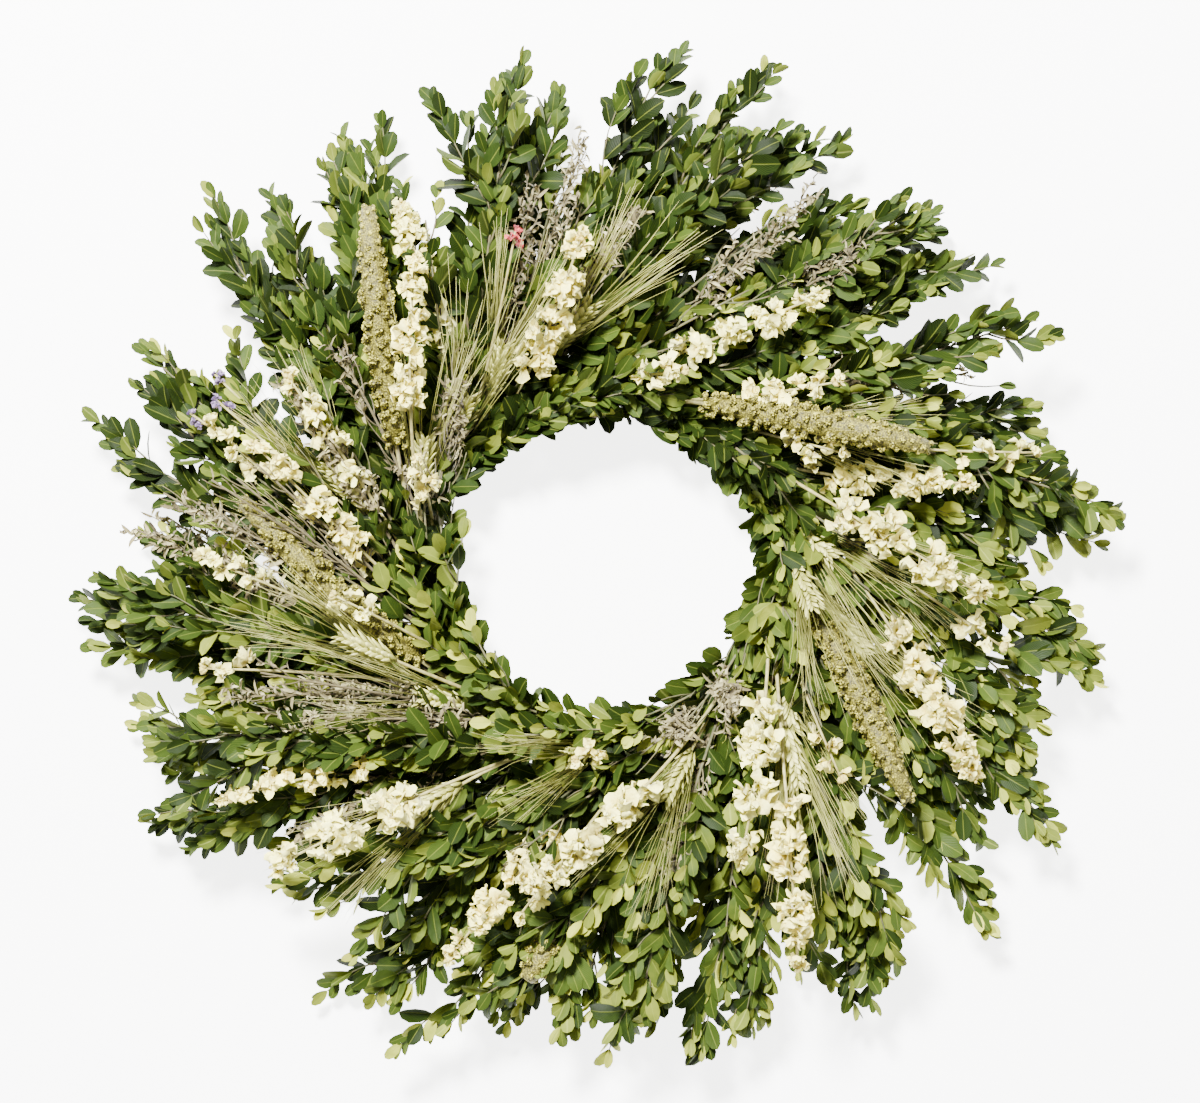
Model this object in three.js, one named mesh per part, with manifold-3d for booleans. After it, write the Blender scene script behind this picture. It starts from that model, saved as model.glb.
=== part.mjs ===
// A round boxwood wreath, lying on its back. Sprays of boxwood, dried larkspur, bearded wheat, foxtail
// millet and silvery artemisia are clamped in bunches on a wire ring. They all leave the ring along its
// tangent, clockwise, so the wreath turns like a pinwheel round its open middle.
// Millimetres. +Z is up, out of the face of the wreath. +Y is the top of the wreath as it is seen.

import * as THREE from 'three';
import { mergeVertices } from 'three/addons/utils/BufferGeometryUtils.js';
import Module from 'manifold-3d';

const wasm = await Module();
wasm.setup();

// The wire ring and its clamps.
const RING_RADIUS = 98;
const WIRE_RADIUS = 2.2;
const WIRE_SIDES = 6;
const CLAMP_COUNT = 13;
const STEPS_PER_CLAMP = 2;
const CLAMP_WIRE = 1.8;
const CLAMP_FOOT = 0.7;
const LOOP_SINK = 0.1;

// The stems that each clamp holds, in rows from the ring wire up. A head's neck is sunk into its stem.
const STEM_RADIUS = 1.3;
const STEM_TAPER = 0.35;
const NECK_RADIUS = 0.9;
const HEAD_SINKS = [3, 4, 5, 6, 7];
const CLEARANCE = 0.35;
const SLOT_PITCH = 2 * STEM_RADIUS + CLEARANCE + 0.1;
const SLOT_ROWS = [3, 2, 3];
const TAIL_LENGTH = 12;
const CLAMP_GRIP = 6;

// The open middle, and the height that every leaf keeps above the surface that the wreath lies on.
const HOLE_RADIUS = 80;
const GROUND_CLEARANCE = 1.2;

// The bend of a spray, from its clamp to its tip: how far along its two bends are, how soon it rises, how
// far it crests above its tip, and how much of a lift it takes at its tip and at each bend.
const BEND_STEPS = 5;
const FIRST_BEND = 0.33;
const SECOND_BEND = 0.36;
const EARLY_RISE = 0.22;
const CREST = 6;
const TIP_LIFT = 0.5;
const FIRST_BEND_LIFT = 0.6;

// The search that lays each spray on those below it: turned aside by some degrees, or lifted.
const SAMPLE_SPACING = 2.2;
const LIFT_STEP = 1.5;
const MOST_LIFT = 75;
const BARE_ROOT = 42;
const SIDE_TURNS = [0, 2, -2, 4, -4, 6, -6, 8, -8, 10, -10];
const MOST_BACK_TURN = 4;
const HEAD_ALLOWANCE = 0.3;

// Each kind of spray: how far its head runs back from the tip, the radius that the head needs, and the
// layer that it lies in, from the back of the wreath to its face.
const KINDS = {
  artemisia: { layer: 0, headLength: 110, headRadius: 4.5, overhang: 16, colours: [0xa39a8c], roughness: 0.95 },
  boxwood: {
    layer: 1,
    headLength: 190,
    headRadius: 4,
    overhang: 23,
    colours: [0x4f6f2b, 0x5d7d33, 0x3f5d24],
    roughness: 0.5,
  },
  millet: { layer: 2, headLength: 132, headRadius: 10.5, overhang: 0, colours: [0xa89f55], roughness: 0.95 },
  wheat: { layer: 3, headLength: 112, headRadius: 7, overhang: 0, colours: [0xb9b483], roughness: 0.8 },
  larkspur: { layer: 4, headLength: 100, headRadius: 8.5, overhang: 0, colours: [0xe9dcb8, 0xe6c8a2], roughness: 0.9 },
};

// Every spray: its kind, then where its last leaf or bud ends, as an angle from +X in degrees and a
// distance from the middle of the ring, and the height of its tip.
const SPRAYS = [
  ['boxwood', 105, 292, 40],
  ['boxwood', 94, 272, 24],
  ['boxwood', 75, 268, 46],
  ['boxwood', 68, 284, 24],
  ['boxwood', 50, 266, 34],
  ['boxwood', 41, 282, 22],
  ['boxwood', 28, 288, 38],
  ['boxwood', 15, 270, 20],
  ['boxwood', 3, 305, 34],
  ['boxwood', 339, 275, 38],
  ['boxwood', 323, 272, 22],
  ['boxwood', 305, 277, 40],
  ['boxwood', 296, 258, 22],
  ['boxwood', 286, 283, 34],
  ['boxwood', 277, 271, 20],
  ['boxwood', 271, 275, 40],
  ['boxwood', 261, 274, 22],
  ['boxwood', 252, 245, 38],
  ['boxwood', 241, 283, 22],
  ['boxwood', 229, 268, 38],
  ['boxwood', 215, 278, 24],
  ['boxwood', 201, 282, 36],
  ['boxwood', 191, 277, 22],
  ['boxwood', 180, 292, 38],
  ['boxwood', 156, 298, 28],
  ['boxwood', 137, 274, 40],
  ['boxwood', 122, 261, 24],
  ['larkspur', 125, 199, 64],
  ['larkspur', 111, 232, 52],
  ['larkspur', 89, 185, 66],
  ['larkspur', 60, 197, 64],
  ['larkspur', 6, 214, 60],
  ['larkspur', 345, 214, 62],
  ['larkspur', 336, 244, 48],
  ['larkspur', 301, 184, 66],
  ['larkspur', 286, 251, 52],
  ['larkspur', 267, 187, 62],
  ['larkspur', 239, 239, 54],
  ['larkspur', 213, 248, 56],
  ['larkspur', 171, 206, 62],
  ['wheat', 130, 165, 62],
  ['wheat', 68, 209, 58],
  ['wheat', 358, 220, 60],
  ['wheat', 322, 168, 64],
  ['wheat', 299, 238, 54],
  ['wheat', 280, 199, 58],
  ['wheat', 218, 253, 50],
  ['wheat', 192, 212, 56],
  ['wheat', 166, 215, 54],
  ['millet', 121, 240, 48],
  ['millet', 29, 196, 58],
  ['millet', 318, 221, 56],
  ['millet', 178, 206, 54],
  ['artemisia', 208, 227, 36],
  ['artemisia', 170, 268, 18],
  ['artemisia', 97, 248, 20],
  ['artemisia', 61, 259, 18],
  ['artemisia', 271, 222, 22],
];

// Boxwood leaves, in opposite pairs that stand closer towards the tip. Every second spray has a pair more.
// The shapes give the share of the length and of the half width, from the foot to the tip.
const LEAF_LENGTH = 31;
const LEAF_WIDTH = 19;
const LEAF_THICKNESS = 1.8;
const LEAF_ARCH = 1.2;
const LEAF_OPEN = [0.72, 1.02];
const TIP_LEAF_OPEN = 0.18;
const FACE_FORWARD = 0.35;
const OVAL = [[0, 0], [0.36, 0.86], [0.74, 0.92], [1, 0]];
const NARROW = [[0, 0], [0.45, 1], [1, 0]];
const LEAF_PAIRS = [5, 6];
const FLAT_PAIR_LEAN = 0.15;
const UPRIGHT_PAIR_LEAN = 0.6;
const FIRST_PAIR = 7;
const LEAFLESS_ROOT = 34;
const PAIR_SPREAD = 1.15;

// Boxwood side shoots, which fork from the sprays into the gaps between them. The places that are tried
// are given as a way back from the spray's tip, a turn round its stem, and an opening from its line.
const SHOOT_LENGTH = 34;
const SHOOT_RADII = [0.95, 0.6];
const SHOOT_BACKS = [72, 82, 92, 62, 54, 102, 112, 122, 132, 46];
const SHOOT_TURNS = [0.1, 0.5, -0.25];
const SHOOT_OPENS = [0.72, 0.5];
const SHOOT_SIZES = [1, 0.85];
const SHOOT_PAIR = 13;
const SHOOT_LEAF = 0.9;
const SHOOT_LEAF_OPENS = [1.15, 1.05];

// Larkspur florets, and the core of the spike that they stand on.
const FLORET_RADIUS = 10.5;
const FLORET_CUP = 3.4;
const FLORET_COUNT = 4;
const FLORET_NOTCH = 0.56;
const FLORET_OPEN = 1.15;
const SPIKE_CORE = 3.6;

// Bearded wheat: the ear, its rows of husks, and the awns.
const EAR_LENGTH = 46;
const EAR_RADIUS = 5.6;
const HUSK_TIP = [1.05, 0.72];
const HUSK_FOOT = [0.62, 0.52];
const HUSK_LENGTH = 6.5;
const EAR_NECK = 4;
const HUSK_ROWS = 3;
const AWN_LENGTH = 66;
const AWN_COUNT = 4;
const AWN_RADIUS = 0.75;
const AWN_FAN = 0.24;

// Foxtail millet: a thick lobed spike.
const MILLET_RADIUS = 9;
const MILLET_SIDES = 8;
const MILLET_ROWS = 9;
const MILLET_LOBES = [1.12, 0.84];

// Artemisia: narrow curled leaves on a slim stem.
const CURL_LENGTH = 21;
const CURL_WIDTH = 4.2;
const CURL_THICKNESS = 1.2;
const CURL_ARCH = 3;
const CURL_OPEN = [0.6, 0.9];
const CURL_COUNT = 7;

// How much a piece is swollen to test that it is clear, and the finest edge that a join may leave.
const PROBE_GROWTH = 0.4;
const SHORTEST_EDGE = 0.004;
const LEAF_SEAM = 14;
const TIP_SEAM = 20;
const SHOOT_SEAM = 22;

// The turn between neighbours on a spike, which spreads them evenly round it.
const GOLDEN_TURN = 2.4;

const SEED = 20240611;

function randomFrom(seed) {
  let state = seed >>> 0;
  return () => {
    state = (state + 0x6d2b79f5) >>> 0;
    let mixed = Math.imul(state ^ (state >>> 15), state | 1);
    mixed ^= mixed + Math.imul(mixed ^ (mixed >>> 7), mixed | 61);
    return ((mixed ^ (mixed >>> 14)) >>> 0) / 4294967296;
  };
}

const vector = (x, y, z) => new THREE.Vector3(x, y, z);
const UP = vector(0, 0, 1);
const RING_HEIGHT = WIRE_RADIUS * Math.sin(Math.PI / 3);
const ROW_RISE = SLOT_PITCH * Math.sin(Math.PI / 3);
const FIRST_ROW = 2 * RING_HEIGHT + CLEARANCE + STEM_RADIUS;

// A clamp's place on the ring: the way out from the ring's middle, the way its stems run, and its middle.
function clampFrame(index) {
  const angle = (index * 2 * Math.PI) / CLAMP_COUNT;
  const outward = vector(Math.cos(angle), Math.sin(angle), 0);
  const along = vector(Math.sin(angle), -Math.cos(angle), 0);
  return { outward, along, middle: outward.clone().multiplyScalar(RING_RADIUS) };
}

// Each spray belongs to the clamp whose tangent comes nearest to its tip.
function readSprays() {
  const counts = {};
  return SPRAYS.map(([kind, degrees, reach, height]) => {
    counts[kind] = (counts[kind] || 0) + 1;
    const angle = THREE.MathUtils.degToRad(degrees);
    const distance = reach - KINDS[kind].overhang;
    const rootAngle = angle + Math.acos(RING_RADIUS / distance);
    const step = (rootAngle * CLAMP_COUNT) / (2 * Math.PI);
    return {
      ...KINDS[kind],
      kind,
      number: counts[kind],
      name: `${kind}_${String(counts[kind]).padStart(2, '0')}`,
      tip: vector(distance * Math.cos(angle), distance * Math.sin(angle), height),
      clamp: ((Math.round(step) % CLAMP_COUNT) + CLAMP_COUNT) % CLAMP_COUNT,
      outwardness: step - Math.round(step),
    };
  });
}

const backToFace = (a, b) => a.layer - b.layer || a.tip.z - b.tip.z;

// Fills each clamp from the back of the wreath to its face. In a row, the stem that turns outward most is
// the outermost, so that no two stems cross as they fan out.
function fillClamps(sprays) {
  for (let clamp = 0; clamp < CLAMP_COUNT; clamp += 1) {
    const held = sprays.filter((spray) => spray.clamp === clamp).sort(backToFace);
    let first = 0;
    SLOT_ROWS.forEach((count, row) => {
      const inRow = held.slice(first, first + count);
      inRow.sort((a, b) => b.outwardness - a.outwardness);
      inRow.forEach((spray, i) => {
        spray.slot = {
          out: (i - (inRow.length - 1) / 2) * SLOT_PITCH,
          height: FIRST_ROW + row * ROW_RISE,
        };
      });
      first += count;
    });
  }
}

// The line of a spray: straight through the clamp, then one long bend out to its tip.
function routeOf(spray, lift, sideTurn) {
  const { outward, along, middle } = clampFrame(spray.clamp);
  const held = middle.clone().addScaledVector(outward, spray.slot.out);
  held.z = spray.slot.height;
  const tail = held.clone().addScaledVector(along, -TAIL_LENGTH);
  const exit = held.clone().addScaledVector(along, CLAMP_GRIP);
  const tip = spray.tip.clone().applyAxisAngle(UP, THREE.MathUtils.degToRad(sideTurn));
  tip.z += lift * TIP_LIFT;
  const reach = exit.distanceTo(tip);
  const first = exit.clone().addScaledVector(along, reach * FIRST_BEND);
  first.z += (tip.z - exit.z) * EARLY_RISE + lift * FIRST_BEND_LIFT;
  const second = tip.clone().lerp(first, SECOND_BEND);
  second.z = tip.z + CREST + lift * TIP_LIFT;
  const corners = new THREE.CubicBezierCurve3(exit, first, second, tip).getSpacedPoints(BEND_STEPS);
  const line = new THREE.CurvePath();
  corners.slice(1).forEach((corner, i) => line.add(new THREE.LineCurve3(corners[i], corner)));
  return { tail, exit, tip, corners, line, length: line.getLength() };
}

function routeSamples(spray, route) {
  const count = Math.ceil(route.length / SAMPLE_SPACING);
  return Array.from({ length: count + 1 }, (_, i) => {
    const fromRoot = (i * route.length) / count;
    const inHead = route.length - fromRoot < spray.headLength && fromRoot > BARE_ROOT;
    const radius = inHead ? spray.headRadius + HEAD_ALLOWANCE : STEM_RADIUS;
    return { at: route.line.getPoint(i / count), fromRoot, radius };
  });
}

// A run of samples, with the box that holds them.
function obstacle(samples, clamp) {
  const box = new THREE.Box3().setFromPoints(samples.map((sample) => sample.at));
  return { samples, clamp, box: box.expandByScalar(Math.max(...samples.map((sample) => sample.radius))) };
}

const tooNear = (a, b) => a.at.distanceTo(b.at) < a.radius + b.radius + CLEARANCE;

function collides(one, other) {
  if (!one.box.intersectsBox(other.box)) return false;
  return one.samples.some((a) => other.samples.some((b) => tooNear(a, b)));
}

// What every spray has to pass: the ring wire, the clamps and the stems held in them.
function rootObstacles(sprays) {
  const wire = Array.from({ length: 180 }, (_, i) => {
    const angle = (i * 2 * Math.PI) / 180;
    const at = vector(RING_RADIUS * Math.cos(angle), RING_RADIUS * Math.sin(angle), RING_HEIGHT);
    return { at, radius: WIRE_RADIUS };
  });
  const held = sprays.map((spray) => {
    const { tail, exit } = routeOf(spray, 0, 0);
    const samples = [0, 1, 2, 3, 4, 5, 6].map((i) => {
      return { at: tail.clone().lerp(exit, i / 6), radius: STEM_RADIUS + CLAMP_WIRE };
    });
    return obstacle(samples, spray.clamp);
  });
  return [obstacle(wire, -1), ...held];
}

// Lays the sprays one on another, from the back of the wreath to its face. Each is turned aside a little,
// or lifted, until it is clear of those laid before it.
function laySprays(sprays) {
  const roots = rootObstacles(sprays);
  const laid = [];
  [...sprays].sort(backToFace).forEach((spray) => {
    const inTheWay = [...roots.filter((root) => root.clamp !== spray.clamp), ...laid];
    const mostTurn = spray.layer < KINDS.millet.layer ? MOST_BACK_TURN : Infinity;
    const sideTurns = SIDE_TURNS.filter((turn) => Math.abs(turn) <= mostTurn);
    let whole = null;
    const isFree = (lift, sideTurn) => {
      spray.route = routeOf(spray, lift, sideTurn);
      const samples = routeSamples(spray, spray.route);
      whole = obstacle(samples, spray.clamp);
      const free = obstacle(samples.filter((sample) => sample.fromRoot > CLAMP_GRIP), spray.clamp);
      return !inTheWay.some((other) => collides(free, other));
    };
    spray.isClear = false;
    for (let lift = 0; lift <= MOST_LIFT && !spray.isClear; lift += LIFT_STEP) {
      spray.isClear = sideTurns.some((sideTurn) => isFree(lift, sideTurn));
    }
    laid.push(whole);
  });
}

// Turns a closed triangle mesh into a solid.
function solidFrom(positions, faces) {
  const vertProperties = new Float32Array(positions.flatMap((p) => [p.x, p.y, p.z]));
  const triVerts = new Uint32Array(faces.flat());
  return new wasm.Manifold(new wasm.Mesh({ numProp: 3, vertProperties, triVerts }));
}

function solidFromGeometry(source) {
  const bare = source.clone();
  bare.deleteAttribute('normal');
  bare.deleteAttribute('uv');
  const merged = mergeVertices(bare, 1e-4);
  const vertProperties = new Float32Array(merged.attributes.position.array);
  const triVerts = new Uint32Array(merged.index.array);
  return new wasm.Manifold(new wasm.Mesh({ numProp: 3, vertProperties, triVerts }));
}

// Joins a row of rings into one closed solid. A ring has one number of points all along, or a single
// point at an end. The points run counter-clockwise, seen from the last ring.
function loft(rings) {
  const starts = rings.map((ring, i) => rings.slice(0, i).reduce((sum, r) => sum + r.length, 0));
  const sides = Math.max(...rings.map((ring) => ring.length));
  const faces = [];
  for (let i = 0; i < rings.length - 1; i += 1) {
    for (let k = 0; k < sides; k += 1) {
      const next = (k + 1) % sides;
      const near = (n) => starts[i] + (rings[i].length === 1 ? 0 : n);
      const far = (n) => starts[i + 1] + (rings[i + 1].length === 1 ? 0 : n);
      if (rings[i].length > 1) faces.push([near(k), near(next), far(next)]);
      if (rings[i + 1].length > 1) faces.push([near(k), far(next), far(k)]);
    }
  }
  const last = starts[rings.length - 1];
  for (let k = 1; k < sides - 1; k += 1) {
    if (rings[0].length > 1) faces.push([0, k + 1, k]);
    if (rings[rings.length - 1].length > 1) faces.push([last, last + k, last + k + 1]);
  }
  return solidFrom(rings.flat(), faces);
}

// The directions at a point of a line: along it, across it to its left, and up from it.
function lineFrame(tangent) {
  const side = UP.clone().cross(tangent).normalize();
  return { tangent, side, rise: tangent.clone().cross(side) };
}

// A ring of points round a line, with its radius given as a function of the angle. A turn of a quarter
// puts its first point on top.
function ringRound(at, frame, sides, radiusAt, turn = 0) {
  return Array.from({ length: sides }, (_, k) => {
    const angle = turn + (k * 2 * Math.PI) / sides;
    const radius = radiusAt(angle, k);
    return at.clone()
      .addScaledVector(frame.side, radius * Math.cos(angle))
      .addScaledVector(frame.rise, radius * Math.sin(angle));
  });
}

// A three-sided stem that follows a row of corners, with an edge on top, so that a leaf on either side
// leaves it through one flat face.
function stemSolid(corners, radii) {
  const rings = corners.map((at, i) => {
    const before = corners[Math.max(i - 1, 0)];
    const after = corners[Math.min(i + 1, corners.length - 1)];
    const tangent = after.clone().sub(before).normalize();
    return ringRound(at, lineFrame(tangent), 3, () => radii[i], Math.PI / 2);
  });
  return loft(rings);
}

// A leaf blade, arched down its length, with a keel below where it is widest. The stations give, from
// its foot to its tip, the share of the length and the share of the half width. A blade that is grown
// holds the plain one all round.
function bladeSolid({ foot, along, face, length, width, thickness, arch, stations, grow = 0 }) {
  const across = along.clone().cross(face).normalize();
  const up = across.clone().cross(along).normalize();
  const place = (y, x, z) => foot.clone()
    .addScaledVector(along, y)
    .addScaledVector(across, x)
    .addScaledVector(up, z);
  const wayAlong = (share) => share * (length + 2 * grow) - grow;
  const rise = (share) => arch * 4 * share * (1 - share);
  const inner = stations.slice(1, -1);
  const edge = (side) => inner.map(([share, half]) => {
    return place(wayAlong(share), side * ((half * width) / 2 + 3 * grow), rise(share) + 0.6 * grow);
  });
  const outline = [place(-grow, 0, 0), ...edge(-1), place(length + grow, 0, 0), ...edge(1).reverse()];
  const [widest, half] = inner[0];
  const keel = place(wayAlong(widest), 0, rise(widest) - thickness * half - 2 * grow);
  const count = outline.length;
  const facing = (i) => (count - i) % count;
  const faces = outline.map((_, i) => [i, (i + 1) % count, count]);
  for (let i = 0; i <= inner.length; i += 1) {
    if (i > 0) faces.push([i, facing(i), facing(i + 1)]);
    if (i < inner.length) faces.push([i, facing(i + 1), i + 1]);
  }
  return solidFrom([...outline, keel], faces);
}

// A point on a spray, a given way back from its tip, with the directions there.
function pointFromTip(spray, back) {
  const { line, length } = spray.route;
  const share = THREE.MathUtils.clamp(1 - back / length, 0, 1);
  return { at: line.getPoint(share), ...lineFrame(line.getTangent(share)) };
}

// A direction that leans out from the stem: turned round it, and opened from its line.
function swing(frame, turn, open) {
  const out = frame.side.clone().multiplyScalar(Math.cos(turn)).addScaledVector(frame.rise, Math.sin(turn));
  return frame.tangent.clone().multiplyScalar(Math.cos(open)).addScaledVector(out, Math.sin(open));
}

const between = ([least, most], share) => least + (most - least) * share;

// Whether a solid stays out of the open middle, off the surface below, and clear of every other spray.
function isClear(solid, ownName, placed) {
  const box = solid.boundingBox();
  if (box.min[2] < GROUND_CLEARANCE) return false;
  const mesh = solid.getMesh();
  for (let i = 0; i < mesh.numVert; i += 1) {
    const x = mesh.vertProperties[i * mesh.numProp];
    const y = mesh.vertProperties[i * mesh.numProp + 1];
    if (Math.hypot(x, y) < HOLE_RADIUS) return false;
  }
  return placed.every((other) => {
    if (other.name === ownName) return true;
    const apart = [0, 1, 2].some((a) => box.min[a] > other.box.max[a] || box.max[a] < other.box.min[a]);
    if (apart) return true;
    const shared = solid.intersect(other.solid);
    const empty = shared.isEmpty();
    shared.delete();
    return empty;
  });
}

// Whether a join has left two corners of the solid almost on each other.
function hasShortEdge(solid) {
  const { vertProperties, triVerts, numProp } = solid.getMesh();
  const corner = (i) => vector(...vertProperties.slice(i * numProp, i * numProp + 3));
  const corners = Array.from({ length: vertProperties.length / numProp }, (_, i) => corner(i));
  return triVerts.some((from, i) => {
    const to = triVerts[i % 3 === 2 ? i - 2 : i + 1];
    return corners[from].distanceTo(corners[to]) < SHORTEST_EDGE;
  });
}

// Tries a piece in several attitudes, and fuses the first that is clear and joins cleanly. The triangles
// that a join adds show whether the piece crosses more of its own spray than the stem that it grows from.
function settle(entry, placed, attitudes, make, mostSeam = Infinity) {
  for (const attitude of attitudes) {
    const probe = make(attitude, PROBE_GROWTH);
    const clear = isClear(probe, entry.name, placed);
    probe.delete();
    if (clear) {
      const piece = make(attitude, 0);
      const joined = entry.solid.add(piece);
      const seam = joined.numTri() - entry.solid.numTri() - piece.numTri();
      piece.delete();
      if (seam <= mostSeam && !hasShortEdge(joined)) {
        entry.solid.delete();
        entry.solid = joined;
        entry.box = joined.boundingBox();
        return true;
      }
      joined.delete();
    }
  }
  return false;
}

// The stem of every spray, with the core of its head.
function sprayCore(spray) {
  const { tail, corners, line, length } = spray.route;
  if (spray.kind === 'boxwood' || spray.kind === 'artemisia') {
    const radii = corners.map((_, i) => STEM_RADIUS * (1 - (STEM_TAPER * i) / BEND_STEPS));
    return stemSolid([tail, ...corners], [STEM_RADIUS, ...radii]);
  }
  const headFoot = 1 - spray.headLength / length;
  const below = corners.filter((_, i) => i / BEND_STEPS < headFoot - 0.02);
  const neck = [tail, ...below, line.getPoint(headFoot)];
  const stem = stemSolid(neck, neck.map(() => STEM_RADIUS));
  const makeHead = { larkspur: spikeCore, wheat: earSolid, millet: milletSolid }[spray.kind];
  let whole = stem;
  HEAD_SINKS.find((sink) => {
    whole = stem.add(makeHead(spray, spray.headLength + sink));
    return !hasShortEdge(whole);
  });
  return whole;
}

function headRing(spray, back, sides, radiusAt) {
  const frame = pointFromTip(spray, back);
  return ringRound(frame.at, frame, sides, radiusAt);
}

// A larkspur spike's core thins out to the buds at its tip.
const spikeRadius = (share) => SPIKE_CORE * Math.min(1, 0.4 + 1.3 * share);

function spikeCore(spray, footBack) {
  const foot = headRing(spray, footBack, 4, () => NECK_RADIUS);
  const rings = [0.85, 0.5, 0.22, 0.08].map((share) => {
    return headRing(spray, share * spray.headLength, 4, () => spikeRadius(share));
  });
  return loft([foot, ...rings, [pointFromTip(spray, 0).at]]);
}

// A wheat ear, with its husks standing out in rows.
function earSolid(spray, footBack) {
  const earFoot = spray.headLength;
  const rings = [headRing(spray, footBack, 4, () => NECK_RADIUS)];
  for (let row = 0; row < HUSK_ROWS; row += 1) {
    const back = earFoot - EAR_NECK - (row * (EAR_LENGTH - HUSK_LENGTH)) / HUSK_ROWS;
    const full = EAR_RADIUS * (1 - 0.1 * row);
    rings.push(headRing(spray, back, 4, (angle, k) => full * HUSK_TIP[k % 2]));
    rings.push(headRing(spray, back - HUSK_LENGTH, 4, (angle, k) => full * HUSK_FOOT[k % 2]));
  }
  return loft([...rings, [pointFromTip(spray, earFoot - EAR_LENGTH).at]]);
}

// A millet head, thick and blunt, with its lobes standing out all round.
function milletSolid(spray, footBack) {
  const rings = [headRing(spray, footBack, MILLET_SIDES, () => NECK_RADIUS)];
  for (let row = 0; row < MILLET_ROWS; row += 1) {
    const share = (row + 0.5) / MILLET_ROWS;
    const full = MILLET_RADIUS * Math.sin(Math.PI * (0.12 + 0.8 * share)) ** 0.55;
    const back = (1 - share) * spray.headLength;
    rings.push(headRing(spray, back, MILLET_SIDES, (angle, k) => full * MILLET_LOBES[(k + row) % 2]));
  }
  return loft([...rings, [pointFromTip(spray, 0).at]]);
}

// Boxwood: opposite pairs of oval leaves, with one more at the tip.
function addBoxwoodLeaves(entry, spray, placed, random) {
  const size = 0.92 + 0.16 * random();
  const leafAt = (back, turn, open, scale) => (attitude, grow) => {
    const frame = pointFromTip(spray, back + attitude.slide);
    const along = swing(frame, turn + attitude.turn, open + attitude.open);
    const face = UP.clone()
      .addScaledVector(frame.tangent, FACE_FORWARD)
      .addScaledVector(frame.side, attitude.turn * 0.3);
    const length = LEAF_LENGTH * scale * size * attitude.size;
    return bladeSolid({
      foot: frame.at,
      along,
      face,
      length,
      width: LEAF_WIDTH * scale * size * attitude.size,
      thickness: LEAF_THICKNESS,
      arch: LEAF_ARCH,
      stations: OVAL,
      grow,
    });
  };
  const attitudes = [];
  [1, 0.84, 0.7].forEach((scale) => {
    [0, 0.35, -0.35, 0.75, -0.75, 1.2].forEach((turn) => {
      [0, 0.3, -0.3].forEach((open) => attitudes.push({ turn, open, size: scale, slide: 0 }));
      attitudes.push({ turn, open: 0, size: scale, slide: 6 });
      attitudes.push({ turn, open: 0, size: scale, slide: -6 });
    });
  });
  settle(entry, placed, attitudes, leafAt(2, Math.PI / 2, TIP_LEAF_OPEN, 0.95));
  const pairs = LEAF_PAIRS[spray.number % 2];
  const leafyLength = spray.route.length - LEAFLESS_ROOT - FIRST_PAIR;
  for (let pair = 0; pair < pairs; pair += 1) {
    const back = FIRST_PAIR + leafyLength * (pair / (pairs - 1)) ** PAIR_SPREAD;
    const lean = pair % 2 === 1 ? UPRIGHT_PAIR_LEAN : FLAT_PAIR_LEAN;
    [lean, Math.PI - lean].forEach((turn) => {
      const jitter = (random() - 0.5) * 0.5;
      const open = between(LEAF_OPEN, random());
      const mirrored = turn > Math.PI / 2 ? attitudes.map((a) => ({ ...a, turn: -a.turn })) : attitudes;
      const leaf = leafAt(back + 3 * random(), turn + jitter, open, 0.85 + 0.15 * random());
      settle(entry, placed, mirrored, leaf, pair === 0 ? TIP_SEAM : LEAF_SEAM);
    });
  }
}

// A side shoot: a short stem out of the spray, with a leaf at its tip and a pair below it.
function shootSolid(spray, { back, side, turn, open, size }, grow) {
  const fork = pointFromTip(spray, back);
  const along = swing(fork, side > 0 ? turn : Math.PI - turn, open);
  const frame = lineFrame(along);
  const onShoot = (way) => fork.at.clone().addScaledVector(along, way * size);
  const rings = [0, SHOOT_LENGTH].map((way, i) => {
    return ringRound(onShoot(way), frame, 3, () => SHOOT_RADII[i] + grow, Math.PI / 2);
  });
  const leaf = (way, leafTurn, leafOpen) => bladeSolid({
    foot: onShoot(way),
    along: swing(frame, leafTurn, leafOpen),
    face: UP.clone().addScaledVector(along, FACE_FORWARD),
    length: LEAF_LENGTH * SHOOT_LEAF * size,
    width: LEAF_WIDTH * SHOOT_LEAF * size,
    thickness: LEAF_THICKNESS,
    arch: LEAF_ARCH,
    stations: OVAL,
    grow,
  });
  const pairAt = SHOOT_LENGTH - SHOOT_PAIR;
  return wasm.Manifold.union([
    loft(rings),
    leaf(SHOOT_LENGTH - 1.5, Math.PI / 2, TIP_LEAF_OPEN),
    leaf(pairAt, FLAT_PAIR_LEAN, SHOOT_LEAF_OPENS[0]),
    leaf(pairAt - 1.5, Math.PI - FLAT_PAIR_LEAN, SHOOT_LEAF_OPENS[1]),
  ]);
}

// The side of a spray that has the wider gap to the next boxwood tip: 1 on its left, -1 on its right.
function openSide(spray, sprays) {
  const angleOf = (other) => Math.atan2(other.tip.y, other.tip.x);
  const gaps = sprays.filter((other) => other !== spray && other.kind === spray.kind).map((other) => {
    return (angleOf(other) - angleOf(spray) + 4 * Math.PI) % (2 * Math.PI);
  });
  return Math.min(...gaps) > 2 * Math.PI - Math.max(...gaps) ? 1 : -1;
}

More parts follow.
